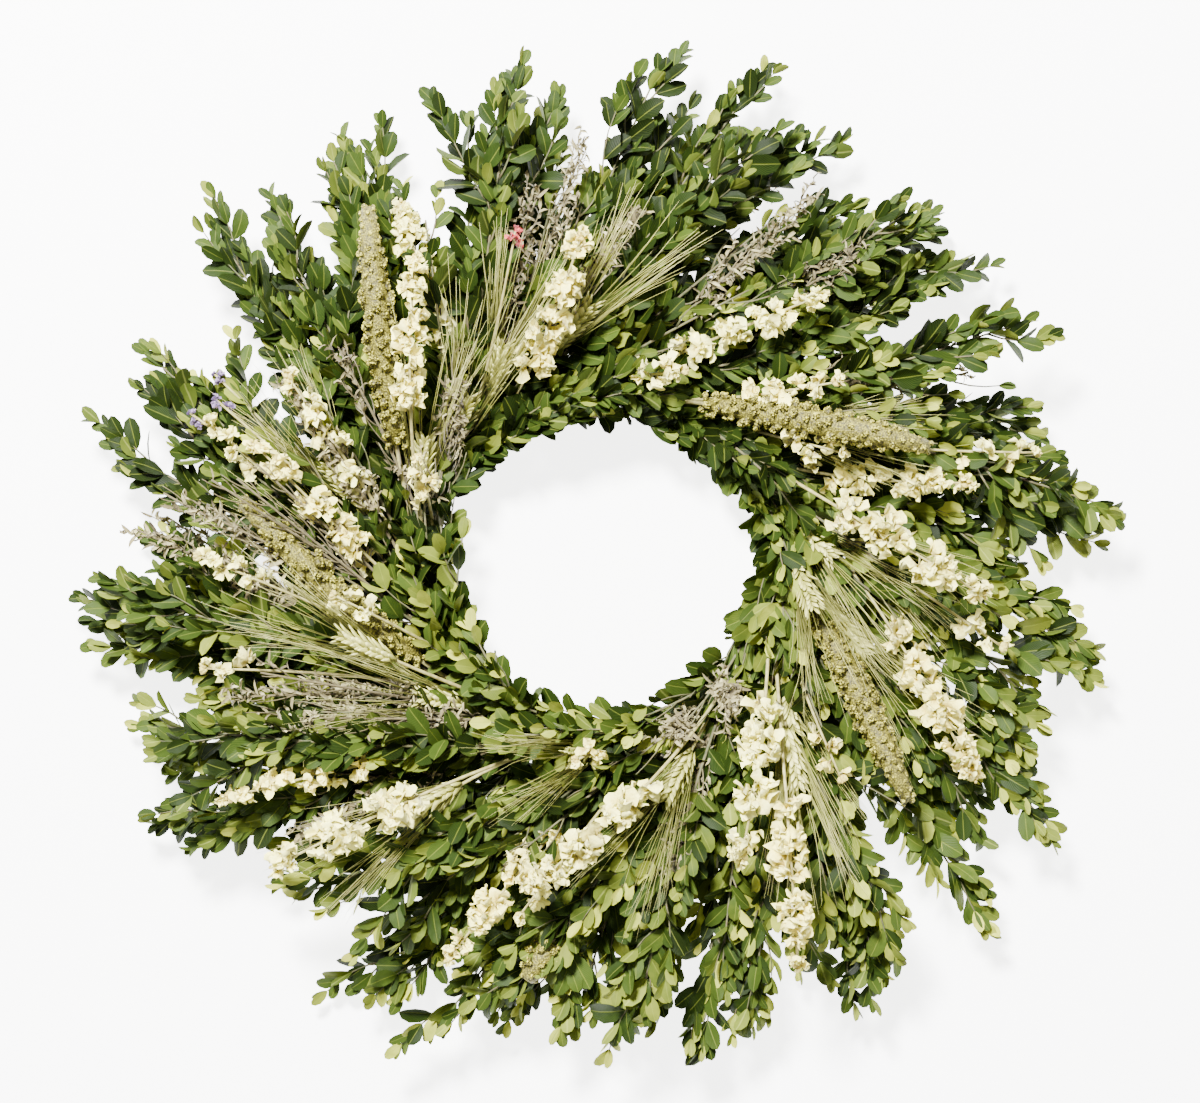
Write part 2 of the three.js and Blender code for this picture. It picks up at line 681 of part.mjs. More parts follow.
function addSideShoot(entry, spray, placed) {
  const first = openSide(spray, sprays);
  const attitudes = SHOOT_SIZES.flatMap((size) => [first, -first].flatMap((side) => {
    return SHOOT_OPENS.flatMap((open) => SHOOT_BACKS.flatMap((back) => {
      return SHOOT_TURNS.map((turn) => ({ size, side, open, back, turn }));
    }));
  }));
  settle(entry, placed, attitudes, (attitude, grow) => shootSolid(spray, attitude, grow), SHOOT_SEAM);
}

// A larkspur floret: a star of five petals, cupped away from the spike.
function floretSolid(frame, turn, core, scale, grow) {
  const axis = swing(frame, turn, FLORET_OPEN);
  const across = axis.clone().cross(frame.tangent).normalize();
  const upward = axis.clone().cross(across);
  const radius = FLORET_RADIUS * scale + grow;
  const rim = Array.from({ length: 10 }, (_, k) => {
    const angle = (k * Math.PI) / 5 + turn;
    const petal = k % 2 === 0;
    const reach = petal ? radius : radius * FLORET_NOTCH;
    return frame.at.clone()
      .addScaledVector(axis, core + FLORET_CUP * scale * (petal ? 1.4 : 0.9))
      .addScaledVector(across, reach * Math.cos(angle))
      .addScaledVector(upward, reach * Math.sin(angle));
  });
  const heart = frame.at.clone().addScaledVector(axis, core + 1.8 + grow);
  const root = frame.at.clone().addScaledVector(axis, -grow);
  return loft([[root], rim, [heart]]);
}

function addLarkspurFlorets(entry, spray, placed, random) {
  const attitudes = [];
  [1, 0.85, 0.7].forEach((size) => {
    [0, 0.3, -0.3, 0.6, -0.6].forEach((turn) => attitudes.push({ turn, size }));
  });
  for (let i = 0; i < FLORET_COUNT; i += 1) {
    const back = 10 + (i * (spray.headLength - 24)) / (FLORET_COUNT - 1);
    const frame = pointFromTip(spray, back);
    const turn = Math.PI / 2 + 1.15 * Math.sin(i * GOLDEN_TURN + spray.number) + 0.2 * (random() - 0.5);
    const taper = 0.62 + 0.38 * Math.min(1, back / 40);
    const core = spikeRadius(back / spray.headLength);
    settle(entry, placed, attitudes, (attitude, grow) => {
      return floretSolid(frame, turn + attitude.turn, core, taper * attitude.size, grow);
    });
  }
}

// The awns of a wheat ear fan out a little, from inside its husks.
function addAwns(entry, spray, placed, random) {
  for (let i = 0; i < AWN_COUNT; i += 1) {
    const across = (i - (AWN_COUNT - 1) / 2) / ((AWN_COUNT - 1) / 2);
    const back = spray.headLength - EAR_LENGTH + 6 + 7 * Math.abs(across);
    const frame = pointFromTip(spray, back);
    const length = AWN_LENGTH * (0.86 + 0.14 * random()) + 4;
    const lift = (random() - 0.35) * 0.16;
    const attitudes = [0, 0.06, -0.06, 0.12].flatMap((fan) => [0, 0.08, 0.16].map((rise) => ({ fan, rise })));
    settle(entry, placed, attitudes, (attitude, grow) => {
      const along = frame.tangent.clone()
        .addScaledVector(frame.side, across * AWN_FAN + attitude.fan)
        .addScaledVector(frame.rise, lift + attitude.rise)
        .normalize();
      const foot = frame.at.clone().addScaledVector(frame.side, across * 1.6);
      const ring = ringRound(foot, lineFrame(along), 3, () => AWN_RADIUS + grow);
      return loft([ring, [foot.clone().addScaledVector(along, length + grow)]]);
    });
  }
}

// Artemisia: narrow curled leaves on every side.
function addCurls(entry, spray, placed, random) {
  const attitudes = [0, 0.5, -0.5, 1, -1, 1.6].flatMap((turn) => [0, -0.25].map((open) => ({ turn, open })));
  for (let i = 0; i < CURL_COUNT; i += 1) {
    const frame = pointFromTip(spray, 1 + (i * spray.headLength) / CURL_COUNT);
    const turn = i * GOLDEN_TURN + random();
    const open = i === 0 ? TIP_LEAF_OPEN : between(CURL_OPEN, random());
    settle(entry, placed, attitudes, (attitude, grow) => bladeSolid({
      foot: frame.at,
      along: swing(frame, turn + attitude.turn, open + attitude.open),
      face: UP.clone().addScaledVector(frame.tangent, FACE_FORWARD),
      length: CURL_LENGTH,
      width: CURL_WIDTH,
      thickness: CURL_THICKNESS,
      arch: CURL_ARCH,
      stations: NARROW,
      grow,
    }));
  }
}

// The ring wire, flat below, with a loop of wire over each bunch of stems.
function wireFrameSolid() {
  const torus = new THREE.TorusGeometry(RING_RADIUS, WIRE_RADIUS, WIRE_SIDES, CLAMP_COUNT * STEPS_PER_CLAMP);
  torus.rotateZ(Math.PI / (CLAMP_COUNT * STEPS_PER_CLAMP));
  torus.translate(0, 0, RING_HEIGHT);
  let whole = solidFromGeometry(torus);
  const innerHalf = SLOT_PITCH + STEM_RADIUS + CLEARANCE;
  const innerTop = FIRST_ROW + (SLOT_ROWS.length - 1) * ROW_RISE + STEM_RADIUS + CLEARANCE;
  const outerHalf = innerHalf + CLAMP_WIRE;
  const outerTop = innerTop + CLAMP_WIRE;
  const outline = new THREE.Shape([
    new THREE.Vector2(-outerHalf, CLAMP_FOOT),
    new THREE.Vector2(outerHalf, CLAMP_FOOT),
    new THREE.Vector2(outerHalf, outerTop),
    new THREE.Vector2(-outerHalf, outerTop),
  ]);
  const innerFoot = 2 * RING_HEIGHT - LOOP_SINK;
  outline.holes.push(new THREE.Path([
    new THREE.Vector2(-innerHalf, innerFoot),
    new THREE.Vector2(-innerHalf, innerTop),
    new THREE.Vector2(innerHalf, innerTop),
    new THREE.Vector2(innerHalf, innerFoot),
  ]));
  for (let clamp = 0; clamp < CLAMP_COUNT; clamp += 1) {
    const { outward, along, middle } = clampFrame(clamp);
    const loop = new THREE.ExtrudeGeometry(outline, { depth: CLAMP_WIRE, bevelEnabled: false });
    const turned = new THREE.Matrix4().makeBasis(outward, UP, along);
    turned.setPosition(middle.clone().addScaledVector(along, -CLAMP_WIRE / 2));
    loop.applyMatrix4(turned);
    const solid = solidFromGeometry(loop);
    const joined = whole.add(solid);
    whole.delete();
    solid.delete();
    whole = joined;
  }
  return whole;
}

// The largest body of a solid, without any loose scrap that a join left.
function mainBody(solid) {
  const bodies = solid.decompose();
  return bodies.reduce((most, body) => (body.volume() > most.volume() ? body : most));
}

function meshFrom(name, solid, material) {
  const { vertProperties, triVerts, numProp } = solid.getMesh();
  const positions = new Float32Array((vertProperties.length / numProp) * 3);
  for (let i = 0; i < positions.length / 3; i += 1) {
    positions.set(vertProperties.slice(i * numProp, i * numProp + 3), i * 3);
  }
  const geometry = new THREE.BufferGeometry();
  geometry.setAttribute('position', new THREE.BufferAttribute(positions, 3));
  geometry.setIndex(new THREE.BufferAttribute(new Uint32Array(triVerts), 1));
  const mesh = new THREE.Mesh(geometry, material);
  mesh.name = name;
  return mesh;
}

const sprays = readSprays();
fillClamps(sprays);
laySprays(sprays);

const random = randomFrom(SEED);
const wire = { name: 'wire_frame', solid: wireFrameSolid() };
wire.box = wire.solid.boundingBox();
const placed = [wire];
sprays.forEach((spray) => {
  const solid = sprayCore(spray);
  spray.entry = { name: spray.name, solid, box: solid.boundingBox() };
  placed.push(spray.entry);
});

const dressings = [
  ['wheat', addAwns],
  ['larkspur', addLarkspurFlorets],
  ['artemisia', addCurls],
  ['boxwood', addBoxwoodLeaves],
  ['boxwood', addSideShoot],
];
dressings.forEach(([kind, addPieces]) => {
  sprays.filter((spray) => spray.kind === kind).forEach((spray) => {
    addPieces(spray.entry, spray, placed, random);
  });
});

const wreath = new THREE.Group();
const wireMaterial = new THREE.MeshStandardMaterial({ color: 0x3d4a35, roughness: 0.6, metalness: 0.4 });
wreath.add(meshFrom(wire.name, mainBody(wire.solid), wireMaterial));
sprays.forEach((spray) => {
  const color = spray.colours[spray.number % spray.colours.length];
  const material = new THREE.MeshStandardMaterial({ color, roughness: spray.roughness, metalness: 0 });
  wreath.add(meshFrom(spray.name, mainBody(spray.entry.solid), material));
});

// The origin is below the middle of the whole wreath, on the surface that it lies on.
const bounds = new THREE.Box3().setFromObject(wreath);
const middle = bounds.getCenter(vector(0, 0, 0));
wreath.position.set(-middle.x, -middle.y, -bounds.min.z);

export default wreath;
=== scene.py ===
import bpy
import numpy as np
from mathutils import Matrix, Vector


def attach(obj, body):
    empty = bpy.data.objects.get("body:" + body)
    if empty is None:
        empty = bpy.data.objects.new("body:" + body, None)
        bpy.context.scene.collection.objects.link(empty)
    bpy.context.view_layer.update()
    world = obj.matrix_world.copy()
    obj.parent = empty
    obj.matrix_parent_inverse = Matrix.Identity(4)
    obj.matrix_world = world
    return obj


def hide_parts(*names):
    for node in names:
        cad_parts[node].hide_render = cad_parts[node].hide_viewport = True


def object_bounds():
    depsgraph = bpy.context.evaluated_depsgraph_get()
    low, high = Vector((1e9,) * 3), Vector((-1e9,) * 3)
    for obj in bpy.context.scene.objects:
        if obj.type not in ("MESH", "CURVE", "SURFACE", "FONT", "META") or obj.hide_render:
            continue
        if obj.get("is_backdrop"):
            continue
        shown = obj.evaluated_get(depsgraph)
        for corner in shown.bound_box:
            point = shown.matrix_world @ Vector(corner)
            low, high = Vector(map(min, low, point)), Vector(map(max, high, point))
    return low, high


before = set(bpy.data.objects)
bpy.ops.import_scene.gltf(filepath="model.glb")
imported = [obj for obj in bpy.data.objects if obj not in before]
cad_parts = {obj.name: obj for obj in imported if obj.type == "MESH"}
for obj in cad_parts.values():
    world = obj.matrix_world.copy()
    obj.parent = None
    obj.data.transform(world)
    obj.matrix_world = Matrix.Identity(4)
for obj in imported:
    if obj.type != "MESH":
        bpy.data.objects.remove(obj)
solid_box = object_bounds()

CLAMP_COUNT = 13
RING_RADIUS = 0.098
UNDERSIDE_LEVEL = 0.0001
ENAMEL = (0.025, 0.05, 0.02)
WORN_ENAMEL = (0.045, 0.075, 0.03)
BARE_STEEL = (0.09, 0.08, 0.06)


def add_node(tree, kind, inputs=None, **settings):
    node = tree.nodes.new(kind)
    for key, value in settings.items():
        setattr(node, key, value)
    for key, value in (inputs or {}).items():
        if isinstance(value, bpy.types.NodeSocket):
            tree.links.new(value, node.inputs[key])
        else:
            node.inputs[key].default_value = value
    return node


def start_material(name, roughness=0.5):
    material = bpy.data.materials.new(name)
    material.use_nodes = True
    shader = material.node_tree.nodes["Principled BSDF"]
    shader.inputs["Roughness"].default_value = roughness
    return material, material.node_tree, shader


def noise(tree, scale, detail=3.0):
    place = add_node(tree, "ShaderNodeTexCoord").outputs["Object"]
    inputs = {"Vector": place, "Scale": scale, "Detail": detail}
    return add_node(tree, "ShaderNodeTexNoise", inputs).outputs["Fac"]


def ramp(tree, share, stops):
    node = add_node(tree, "ShaderNodeValToRGB", {"Fac": share})
    while len(node.color_ramp.elements) < len(stops):
        node.color_ramp.elements.new(0.5)
    for element, (position, color) in zip(node.color_ramp.elements, stops):
        element.position = position
        element.color = (*color, 1)
    return node.outputs["Color"]


def paint(tree, shader, share, stops):
    tree.links.new(ramp(tree, share, stops), shader.inputs["Base Color"])


def raise_surface(tree, shader, height, distance, strength=1.0):
    inputs = {"Height": height, "Distance": distance, "Strength": strength}
    bump = add_node(tree, "ShaderNodeBump", inputs)
    tree.links.new(bump.outputs["Normal"], shader.inputs["Normal"])


enamel, tree, shader = start_material("dark_green_enamel", roughness=0.4)
paint(tree, shader, noise(tree, scale=220), [(0.35, ENAMEL), (0.7, WORN_ENAMEL), (0.8, BARE_STEEL)])
raise_surface(tree, shader, noise(tree, scale=500), distance=0.0002)
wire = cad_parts["wire_frame"]
wire.data.materials.clear()
wire.data.materials.append(enamel)

underside = np.array([v.co for v in wire.data.vertices if v.co.z < UNDERSIDE_LEVEL])[:, :2]
circle = np.column_stack([2 * underside, np.ones(len(underside))])
ring_middle = np.linalg.lstsq(circle, (underside ** 2).sum(axis=1), rcond=None)[0] * (1, 1, 0)

# The boxwood sprays of the outline
# Cut boxwood twigs, each gripped in a loop of the ring and bent outwards and clockwise. Small leathery
# leaves stand in opposite pairs on the twig and on its side shoots, paler below, lighter at the tips. Each
# spray follows the stem of the solid of its number. A tip is its angle, its reach in mm and its height in mm.
BOXWOOD_TIPS = [
    (105, 292, 40), (94, 272, 24), (75, 268, 46), (68, 284, 24), (50, 266, 34), (41, 282, 22),
    (28, 288, 38), (15, 270, 20), (3, 305, 34), (339, 275, 38), (323, 272, 22), (305, 277, 40),
    (296, 258, 22), (286, 283, 34), (277, 271, 20), (271, 275, 40), (261, 274, 22), (252, 245, 38),
    (241, 283, 22), (229, 268, 38), (215, 278, 24), (201, 282, 36), (191, 277, 22), (180, 292, 38),
    (156, 298, 28), (137, 274, 40), (122, 261, 24),
]
BOXWOOD_OVERHANG = 23
STEM_RADIUS = 0.0013
STEM_TAPER = 0.35
WIRE_RADIUS = 0.0022
WIRE_TOP = 2 * WIRE_RADIUS * np.sin(np.pi / 3)
CLEARANCE = 0.00035
SLOT_PITCH = 2 * STEM_RADIUS + CLEARANCE + 0.0001
FIRST_ROW = WIRE_TOP + CLEARANCE + STEM_RADIUS
ROW_RISE = SLOT_PITCH * np.sin(np.pi / 3)
TAIL_LENGTH = 0.012
CLAMP_GRIP = 0.006
STEM_START = 0.33
STEM_PULL = 0.36
STEM_CROWN = 0.006
SOLID_STEPS = 5
LINE_STEPS = 20
SURFACE_NEAR = 0.00006
SIDES_TRIED = (0, 2, -2, 4, -4, 6, -6, 8, -8, 10, -10)
LIFTS_TRIED = np.arange(0, 0.0755, 0.0015)
SHOOT_POINTS = 5
LEAST_BEND = 0.01
UP = np.array([0.0, 0.0, 1.0])


def unit(vectors):
    return vectors / np.maximum(np.linalg.norm(vectors, axis=-1, keepdims=True), 1e-9)


def polar(degrees, distance, height=0.0):
    angle = np.radians(degrees)
    return ring_middle + np.array([distance * np.cos(angle), distance * np.sin(angle), height])


def ring_place(turn):
    """The way out from the ring's middle at a turn, the way the stems run there, and the place."""
    outward = np.array([np.cos(turn), np.sin(turn), 0])
    along = np.array([np.sin(turn), -np.cos(turn), 0])
    return outward, along, ring_middle + outward * RING_RADIUS


def bezier(points, shares):
    first, second, third, last = points
    t = np.asarray(shares)[:, None]
    start = ((1 - t) ** 3) * first + 3 * (1 - t) ** 2 * t * second
    return start + 3 * (1 - t) * t * t * third + t ** 3 * last


def bent_stem(start, along, tip, lift, steps):
    """Points at even steps on a stem that leaves the ring straight and bends out and up to its tip."""
    reach = np.linalg.norm(tip - start)
    first = start + along * reach * STEM_START + UP * ((tip[2] - start[2]) * 0.22 + lift * 0.6)
    second = tip + (first - tip) * STEM_PULL
    second[2] = tip[2] + STEM_CROWN + lift * 0.5
    points = (start, first, second, tip)
    shares = np.linspace(0, 1, 201)
    curve = bezier(points, shares)
    travelled = np.concatenate([[0], np.cumsum(np.linalg.norm(np.diff(curve, axis=0), axis=1))])
    return bezier(points, np.interp(np.linspace(0, travelled[-1], steps + 1), travelled, shares))


def stem_in_node(name, degrees, reach, height, overhang, taper):
    """Finds the stem inside a solid spray: the slot of the clamp that holds it, and how it was bent clear."""
    corners = np.array([v.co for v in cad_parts[name].data.vertices])
    distance = (reach - overhang) / 1000
    step = (np.radians(degrees) + np.arccos(RING_RADIUS / distance)) * CLAMP_COUNT / (2 * np.pi)
    outward, along, middle = ring_place(round(step) * 2 * np.pi / CLAMP_COUNT)

    def count_near(points, radii):
        off = np.linalg.norm(corners[:, None] - points[None], axis=2) - radii
        return int((np.abs(off) < SURFACE_NEAR).sum())

    slots = [(out, row) for out in (-1, -0.5, 0, 0.5, 1) for row in (0, 1, 2)]
    holds = [middle + outward * out * SLOT_PITCH + UP * (FIRST_ROW + row * ROW_RISE) for out, row in slots]
    held = max(holds, key=lambda hold: count_near((hold - along * TAIL_LENGTH)[None], STEM_RADIUS))
    start = held + along * CLAMP_GRIP
    radii = STEM_RADIUS * (1 - taper * np.arange(1, SOLID_STEPS) / SOLID_STEPS)
    best = (-1, None)
    for side in SIDES_TRIED:
        for lift in LIFTS_TRIED:
            tip = polar(degrees + side, distance, height / 1000 + lift * 0.5)
            stops = bent_stem(start, along, tip, lift, SOLID_STEPS)
            near = count_near(stops[1:SOLID_STEPS], radii)
            if near > best[0]:
                best = (near, (start, along, tip, lift))
    return np.vstack([held - along * TAIL_LENGTH, bent_stem(*best[1], LINE_STEPS)])


def solid_stems(kind, tips, overhang=0, taper=0):
    """For each solid spray of a kind: its index, its node's name and the line of the stem inside it."""
    for i, (degrees, reach, height) in enumerate(tips):
        node = f"{kind}_{i + 1:02d}"
        yield i, node, stem_in_node(node, degrees, reach, height, overhang, taper)


def along_line(line, distances):
    """Places on a line at given distances from its start, with the directions on, aside and up there."""
    steps = np.linalg.norm(np.diff(line, axis=0), axis=1)
    travelled = np.concatenate([[0], np.cumsum(steps)])
    slopes = np.gradient(line, travelled, axis=0)
    at = np.stack([np.interp(distances, travelled, line[:, i]) for i in range(3)], axis=1)
    onward = unit(np.stack([np.interp(distances, travelled, slopes[:, i]) for i in range(3)], axis=1))
    aside = unit(np.cross(UP, onward))
    return at, onward, aside, np.cross(onward, aside)


def length_of(line):
    return float(np.linalg.norm(np.diff(line, axis=0), axis=1).sum())


def turned_to(first, second, angle):
    """Directions turned by an angle from the first towards the second."""
    return first * np.cos(angle)[..., None] + second * np.sin(angle)[..., None]


def closed_skins(vertices, around, u, v, end_u, tone, backs, edge):
    """Rings of points between a first and a last point, closed to one skin for each row of vertices."""
    count, per_skin = vertices.shape[:2]
    end, steps = per_skin - 1, len(v)
    faces = []
    for k in range(around):
        after = (k + 1) % around
        faces.append((0, 1 + after, 1 + k))
        for j in range(steps - 1):
            near, far = 1 + j * around, 1 + (j + 1) * around
            faces += [(near + k, near + after, far + after), (near + k, far + after, far + k)]
        faces.append((end, end - around + k, end - around + after))
    faces = np.array(faces)[None] + (np.arange(count) * per_skin)[:, None, None]
    uv = np.column_stack([np.tile(u, steps), np.repeat(v, around)])
    return {
        "vertices": vertices.reshape(-1, 3),
        "faces": faces.reshape(-1, 3),
        "uv": np.tile(np.vstack([(end_u, 0), uv, (end_u, 1)]), (count, 1)),
        "tone": np.repeat(tone, per_skin),
        "finish": np.tile(np.repeat(backs, 2 * steps), count),
        "edge": np.tile(np.concatenate([edge[:1], np.tile(edge, steps), edge[:1]]), count),
    }


def blades(
    foot, along, face, length, width, bend, fold, tone, shape, thickness,
    points=3, backed=False, rim=True, ruffle=None, frill=None,
):
    """Thin closed blades, all at once: each arched along its length, folded on its midrib and sharp-edged."""
    stations, halves = np.array(shape).T
    count, rings = len(foot), len(stations)
    across = unit(np.cross(along, face))
    up = np.cross(across, along)
    bend = np.where(np.abs(bend) < LEAST_BEND, LEAST_BEND, bend)

    def middle_at(share):
        angle = bend[:, None] * share
        on = np.sin(angle) / bend[:, None] * length[:, None]
        down = (1 - np.cos(angle)) / bend[:, None] * length[:, None]
        at = foot[:, None] + along[:, None] * on[..., None] - up[:, None] * down[..., None]
        return at, turned_to(up[:, None], along[:, None], angle)

    middle, normal = middle_at(stations[None])
    half = width[:, None] / 2 * halves[None]
    sides = np.linspace(-1, 1, points)
    vertices = np.zeros((count, 2 + rings * (points + 1), 3))
    vertices[:, 0] = foot
    vertices[:, -1] = middle_at(np.ones((1, 1)))[0][:, 0]
    body = vertices[:, 1:-1].reshape(count, rings, points + 1, 3)
    for k, side in enumerate(sides):
        height = fold[:, None] * half * abs(side)
        if ruffle is not None:
            height = height + ruffle[:, :, k]
        wide = half * side if frill is None else half * side * (1 + frill[:, :, k])
        body[:, :, k] = middle + across[:, None] * wide[..., None] + normal * height[..., None]
    below = thickness * halves[None]
    if ruffle is not None:
        below = below - ruffle[:, :, points // 2]
    body[:, :, points] = middle - normal * below[..., None]
    vertices[:, 1:-1] = body.reshape(count, -1, 3)
    u = np.append((sides + 1) / 2, 0.5)
    backs = (np.arange(points + 1) >= points - 1) * int(backed)
    edge = (np.abs(u - 0.5) == 0.5) & rim
    return closed_skins(vertices, points + 1, u, stations, 0.5, tone, backs, edge)


def tubes(lines, radii, sides, tone):
    """Closed round stems, all at once, one for each line, with the radius given at each of its points."""
    count, steps = lines.shape[:2]
    onward = unit(np.gradient(lines, axis=1))
    aside = unit(np.cross(UP, onward) + 1e-6)
    rise = np.cross(onward, aside)
    turns = np.arange(sides) * 2 * np.pi / sides
    ring = aside[:, :, None] * np.cos(turns)[:, None] + rise[:, :, None] * np.sin(turns)[:, None]
    ring = lines[:, :, None] + ring * radii[:, :, None, None]
    vertices = np.concatenate([lines[:, :1], ring.reshape(count, -1, 3), lines[:, -1:]], axis=1)
    u, v = np.arange(sides) / sides, np.linspace(0, 1, steps)
    return closed_skins(vertices, sides, u, v, 0, tone, np.zeros(sides, int), np.zeros(sides, bool))


def stem_tube(line, thick, thin, sides, tone):
    radii = np.linspace(thick, thin, len(line))
    return tubes(line[None], radii[None], sides, np.array([tone]))


def shoot_tubes(lines, thick, thin, tone):
    radii = np.tile(np.linspace(thick, thin, SHOOT_POINTS), (len(lines), 1))
    return tubes(np.array(lines), radii, 3, np.full(len(lines), tone))


def put_in_scene(name, data):
    placed = bpy.data.objects.new(name, data)
    bpy.context.scene.collection.objects.link(placed)
    return placed


def make_piece(name, parts, materials, slot):
    """Joins parts into one mesh. A part's first number is the material of its face side."""
    first, rows = 0, {key: [] for key in ("vertices", "faces", "uv", "tone", "finish", "edge")}
    for finish, part in parts:
        for key in rows:
            shift = {"faces": first, "finish": finish}.get(key, 0)
            rows[key].append(part[key] + shift if shift else part[key])
        first += len(part["vertices"])
    rows = {key: np.concatenate(value) for key, value in rows.items()}
    mesh = bpy.data.meshes.new(name)
    mesh.vertices.add(len(rows["vertices"]))
    mesh.vertices.foreach_set("co", rows["vertices"].astype(np.float32).ravel())
    mesh.loops.add(rows["faces"].size)
    mesh.loops.foreach_set("vertex_index", rows["faces"].astype(np.int32).ravel())
    mesh.polygons.add(len(rows["faces"]))
    mesh.polygons.foreach_set("loop_start", np.arange(0, rows["faces"].size, 3, dtype=np.int32))
    mesh.update(calc_edges=True)
    mesh.polygons.foreach_set("material_index", rows["finish"].astype(np.int32))
    corners = rows["uv"][rows["faces"].ravel()].astype(np.float32)
    mesh.uv_layers.new(name="UVMap").uv.foreach_set("vector", corners.ravel())
    mesh.attributes.new("tone", "FLOAT", "POINT").data.foreach_set("value", rows["tone"].astype(np.float32))
    ends = np.zeros(len(mesh.edges) * 2, np.int32)
    mesh.edges.foreach_get("vertices", ends)
    sharp = rows["edge"][ends.reshape(-1, 2)].all(axis=1)
    mesh.attributes.new("sharp_edge", "BOOLEAN", "EDGE").data.foreach_set("value", sharp)
    for material in materials:
        mesh.materials.append(material)
    piece = put_in_scene(name, mesh)
    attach(piece, "root")
    return piece


LEAF_LENGTH = 0.0184
LEAF_WIDTH = 0.0094
LEAF_SHAPE = [(0.09, 0.34), (0.34, 0.87), (0.64, 1.0), (0.89, 0.63)]
LEAF_THICKNESS = 0.00045
LEAF_SIZE = 1.06
PAIR_SPACING = 0.0105
FLAT_PAIR = 0.2
STEEP_PAIR = 0.95
LEAF_OPEN = 0.66
LEAF_BEND = 0.35
LEAF_FOLD = 0.22
YOUNG_LENGTH = 0.03
YOUNG_SHRINK = 0.42
YOUNG_TINT = 0.36
TURNED_SHARE = 0.15
DEEPEST_TONE = 0.01
LIGHTEST_TONE = 0.93
TIP_GROWTH = 0.011
HOLE_RADIUS = 0.0765
TWIG_ROOM = 0.003
EDGE_ROOM = 0.012
FLOOR_ROOM = 0.0015
LOWEST_FOOT = 0.003
LONGEST_LEAF = 0.028
FORK_ANGLE = 0.62
HEAD_LEVEL = 0.04
HEAD_START = 0.124
HEAD_DEPTH = 0.008
CELL = 0.003
CELLS = 240
FORK_BOW = 0.08
FORK_BARE = 0.012
SHOOT_BARE = 0.008
LAST_SHOOT = 0.94
SHOOT_REACH = 0.061
SHOOT_RADII = (0.0008, 0.0004)
TWIG_TAPER = 0.42
RIB_EDGE = (0.55, 0.55, 0.55)
RIB_TINT = 0.34
VEIN_TINT = 0.06
VEIN_SLANT = 0.9
VEIN_RATE = 75.0

ROOM_LOW = np.array(solid_box[0]) + (-EDGE_ROOM, -EDGE_ROOM, FLOOR_ROOM)
ROOM_HIGH = np.array(solid_box[1]) + (EDGE_ROOM, EDGE_ROOM, FLOOR_ROOM)
head_top = np.full((CELLS, CELLS), 1.0)


def keep_clear(spots, reach=2):
    """Notes that no leaves lie over these spots of a flower, a grain head or a silver sprig."""
    cells = np.unique(np.column_stack([
        (spots[:, :2] / CELL + CELLS / 2).astype(int), (spots[:, 2] * 1000).astype(int),
    ]), axis=0)
    for i, j, height in cells:
        around = head_top[i - reach:i + reach + 1, j - reach:j + reach + 1]
        around[:] = np.maximum(np.where(around == 1, 0, around), height / 1000)


def hides_head(spots):
    """Which spots lie so high that a leaf there would hide a flower or a grain head below it."""
    i, j = np.clip((spots[:, :2] / CELL + CELLS / 2).astype(int), 0, CELLS - 1).T
    return spots[:, 2] > head_top[i, j] - HEAD_DEPTH


for name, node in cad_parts.items():
    if name.startswith(("larkspur", "wheat", "millet")):
        corners = np.array([v.co for v in node.data.vertices])
        far_out = np.linalg.norm((corners - ring_middle)[:, :2], axis=1) > HEAD_START
        keep_clear(corners[far_out & (corners[:, 2] > HEAD_LEVEL)])


def inside(row):
    """Which leaves of a row stay off the floor, out of the hole, clear of the heads and within reach."""
    tips = row["foot"] + row["along"] * row["length"][:, None]
    keep = (tips > ROOM_LOW).all(axis=1) & (tips < ROOM_HIGH).all(axis=1)
    for spot in (tips, row["foot"]):
        keep &= np.linalg.norm((spot - ring_middle)[:, :2], axis=1) > HOLE_RADIUS
        keep &= ~hides_head(spot)
    return keep & (tips[:, 2] > FLOOR_ROOM + row["width"] / 3) & (row["foot"][:, 2] > LOWEST_FOOT)


def within_reach(line):
    """The part of a twig up to where it would reach over the hole or out of the wreath."""
    over = np.linalg.norm((line - ring_middle)[:, :2], axis=1) < HOLE_RADIUS + TWIG_ROOM
    over |= (line < ROOM_LOW).any(axis=1) | (line > ROOM_HIGH).any(axis=1)
    return line[:over.argmax()] if over.any() else line


def join_rows(rows):
    joined = {key: np.concatenate([row[key] for row in rows]) for key in rows[0]}
    keep = inside(joined)
    return {key: value[keep] for key, value in joined.items()}


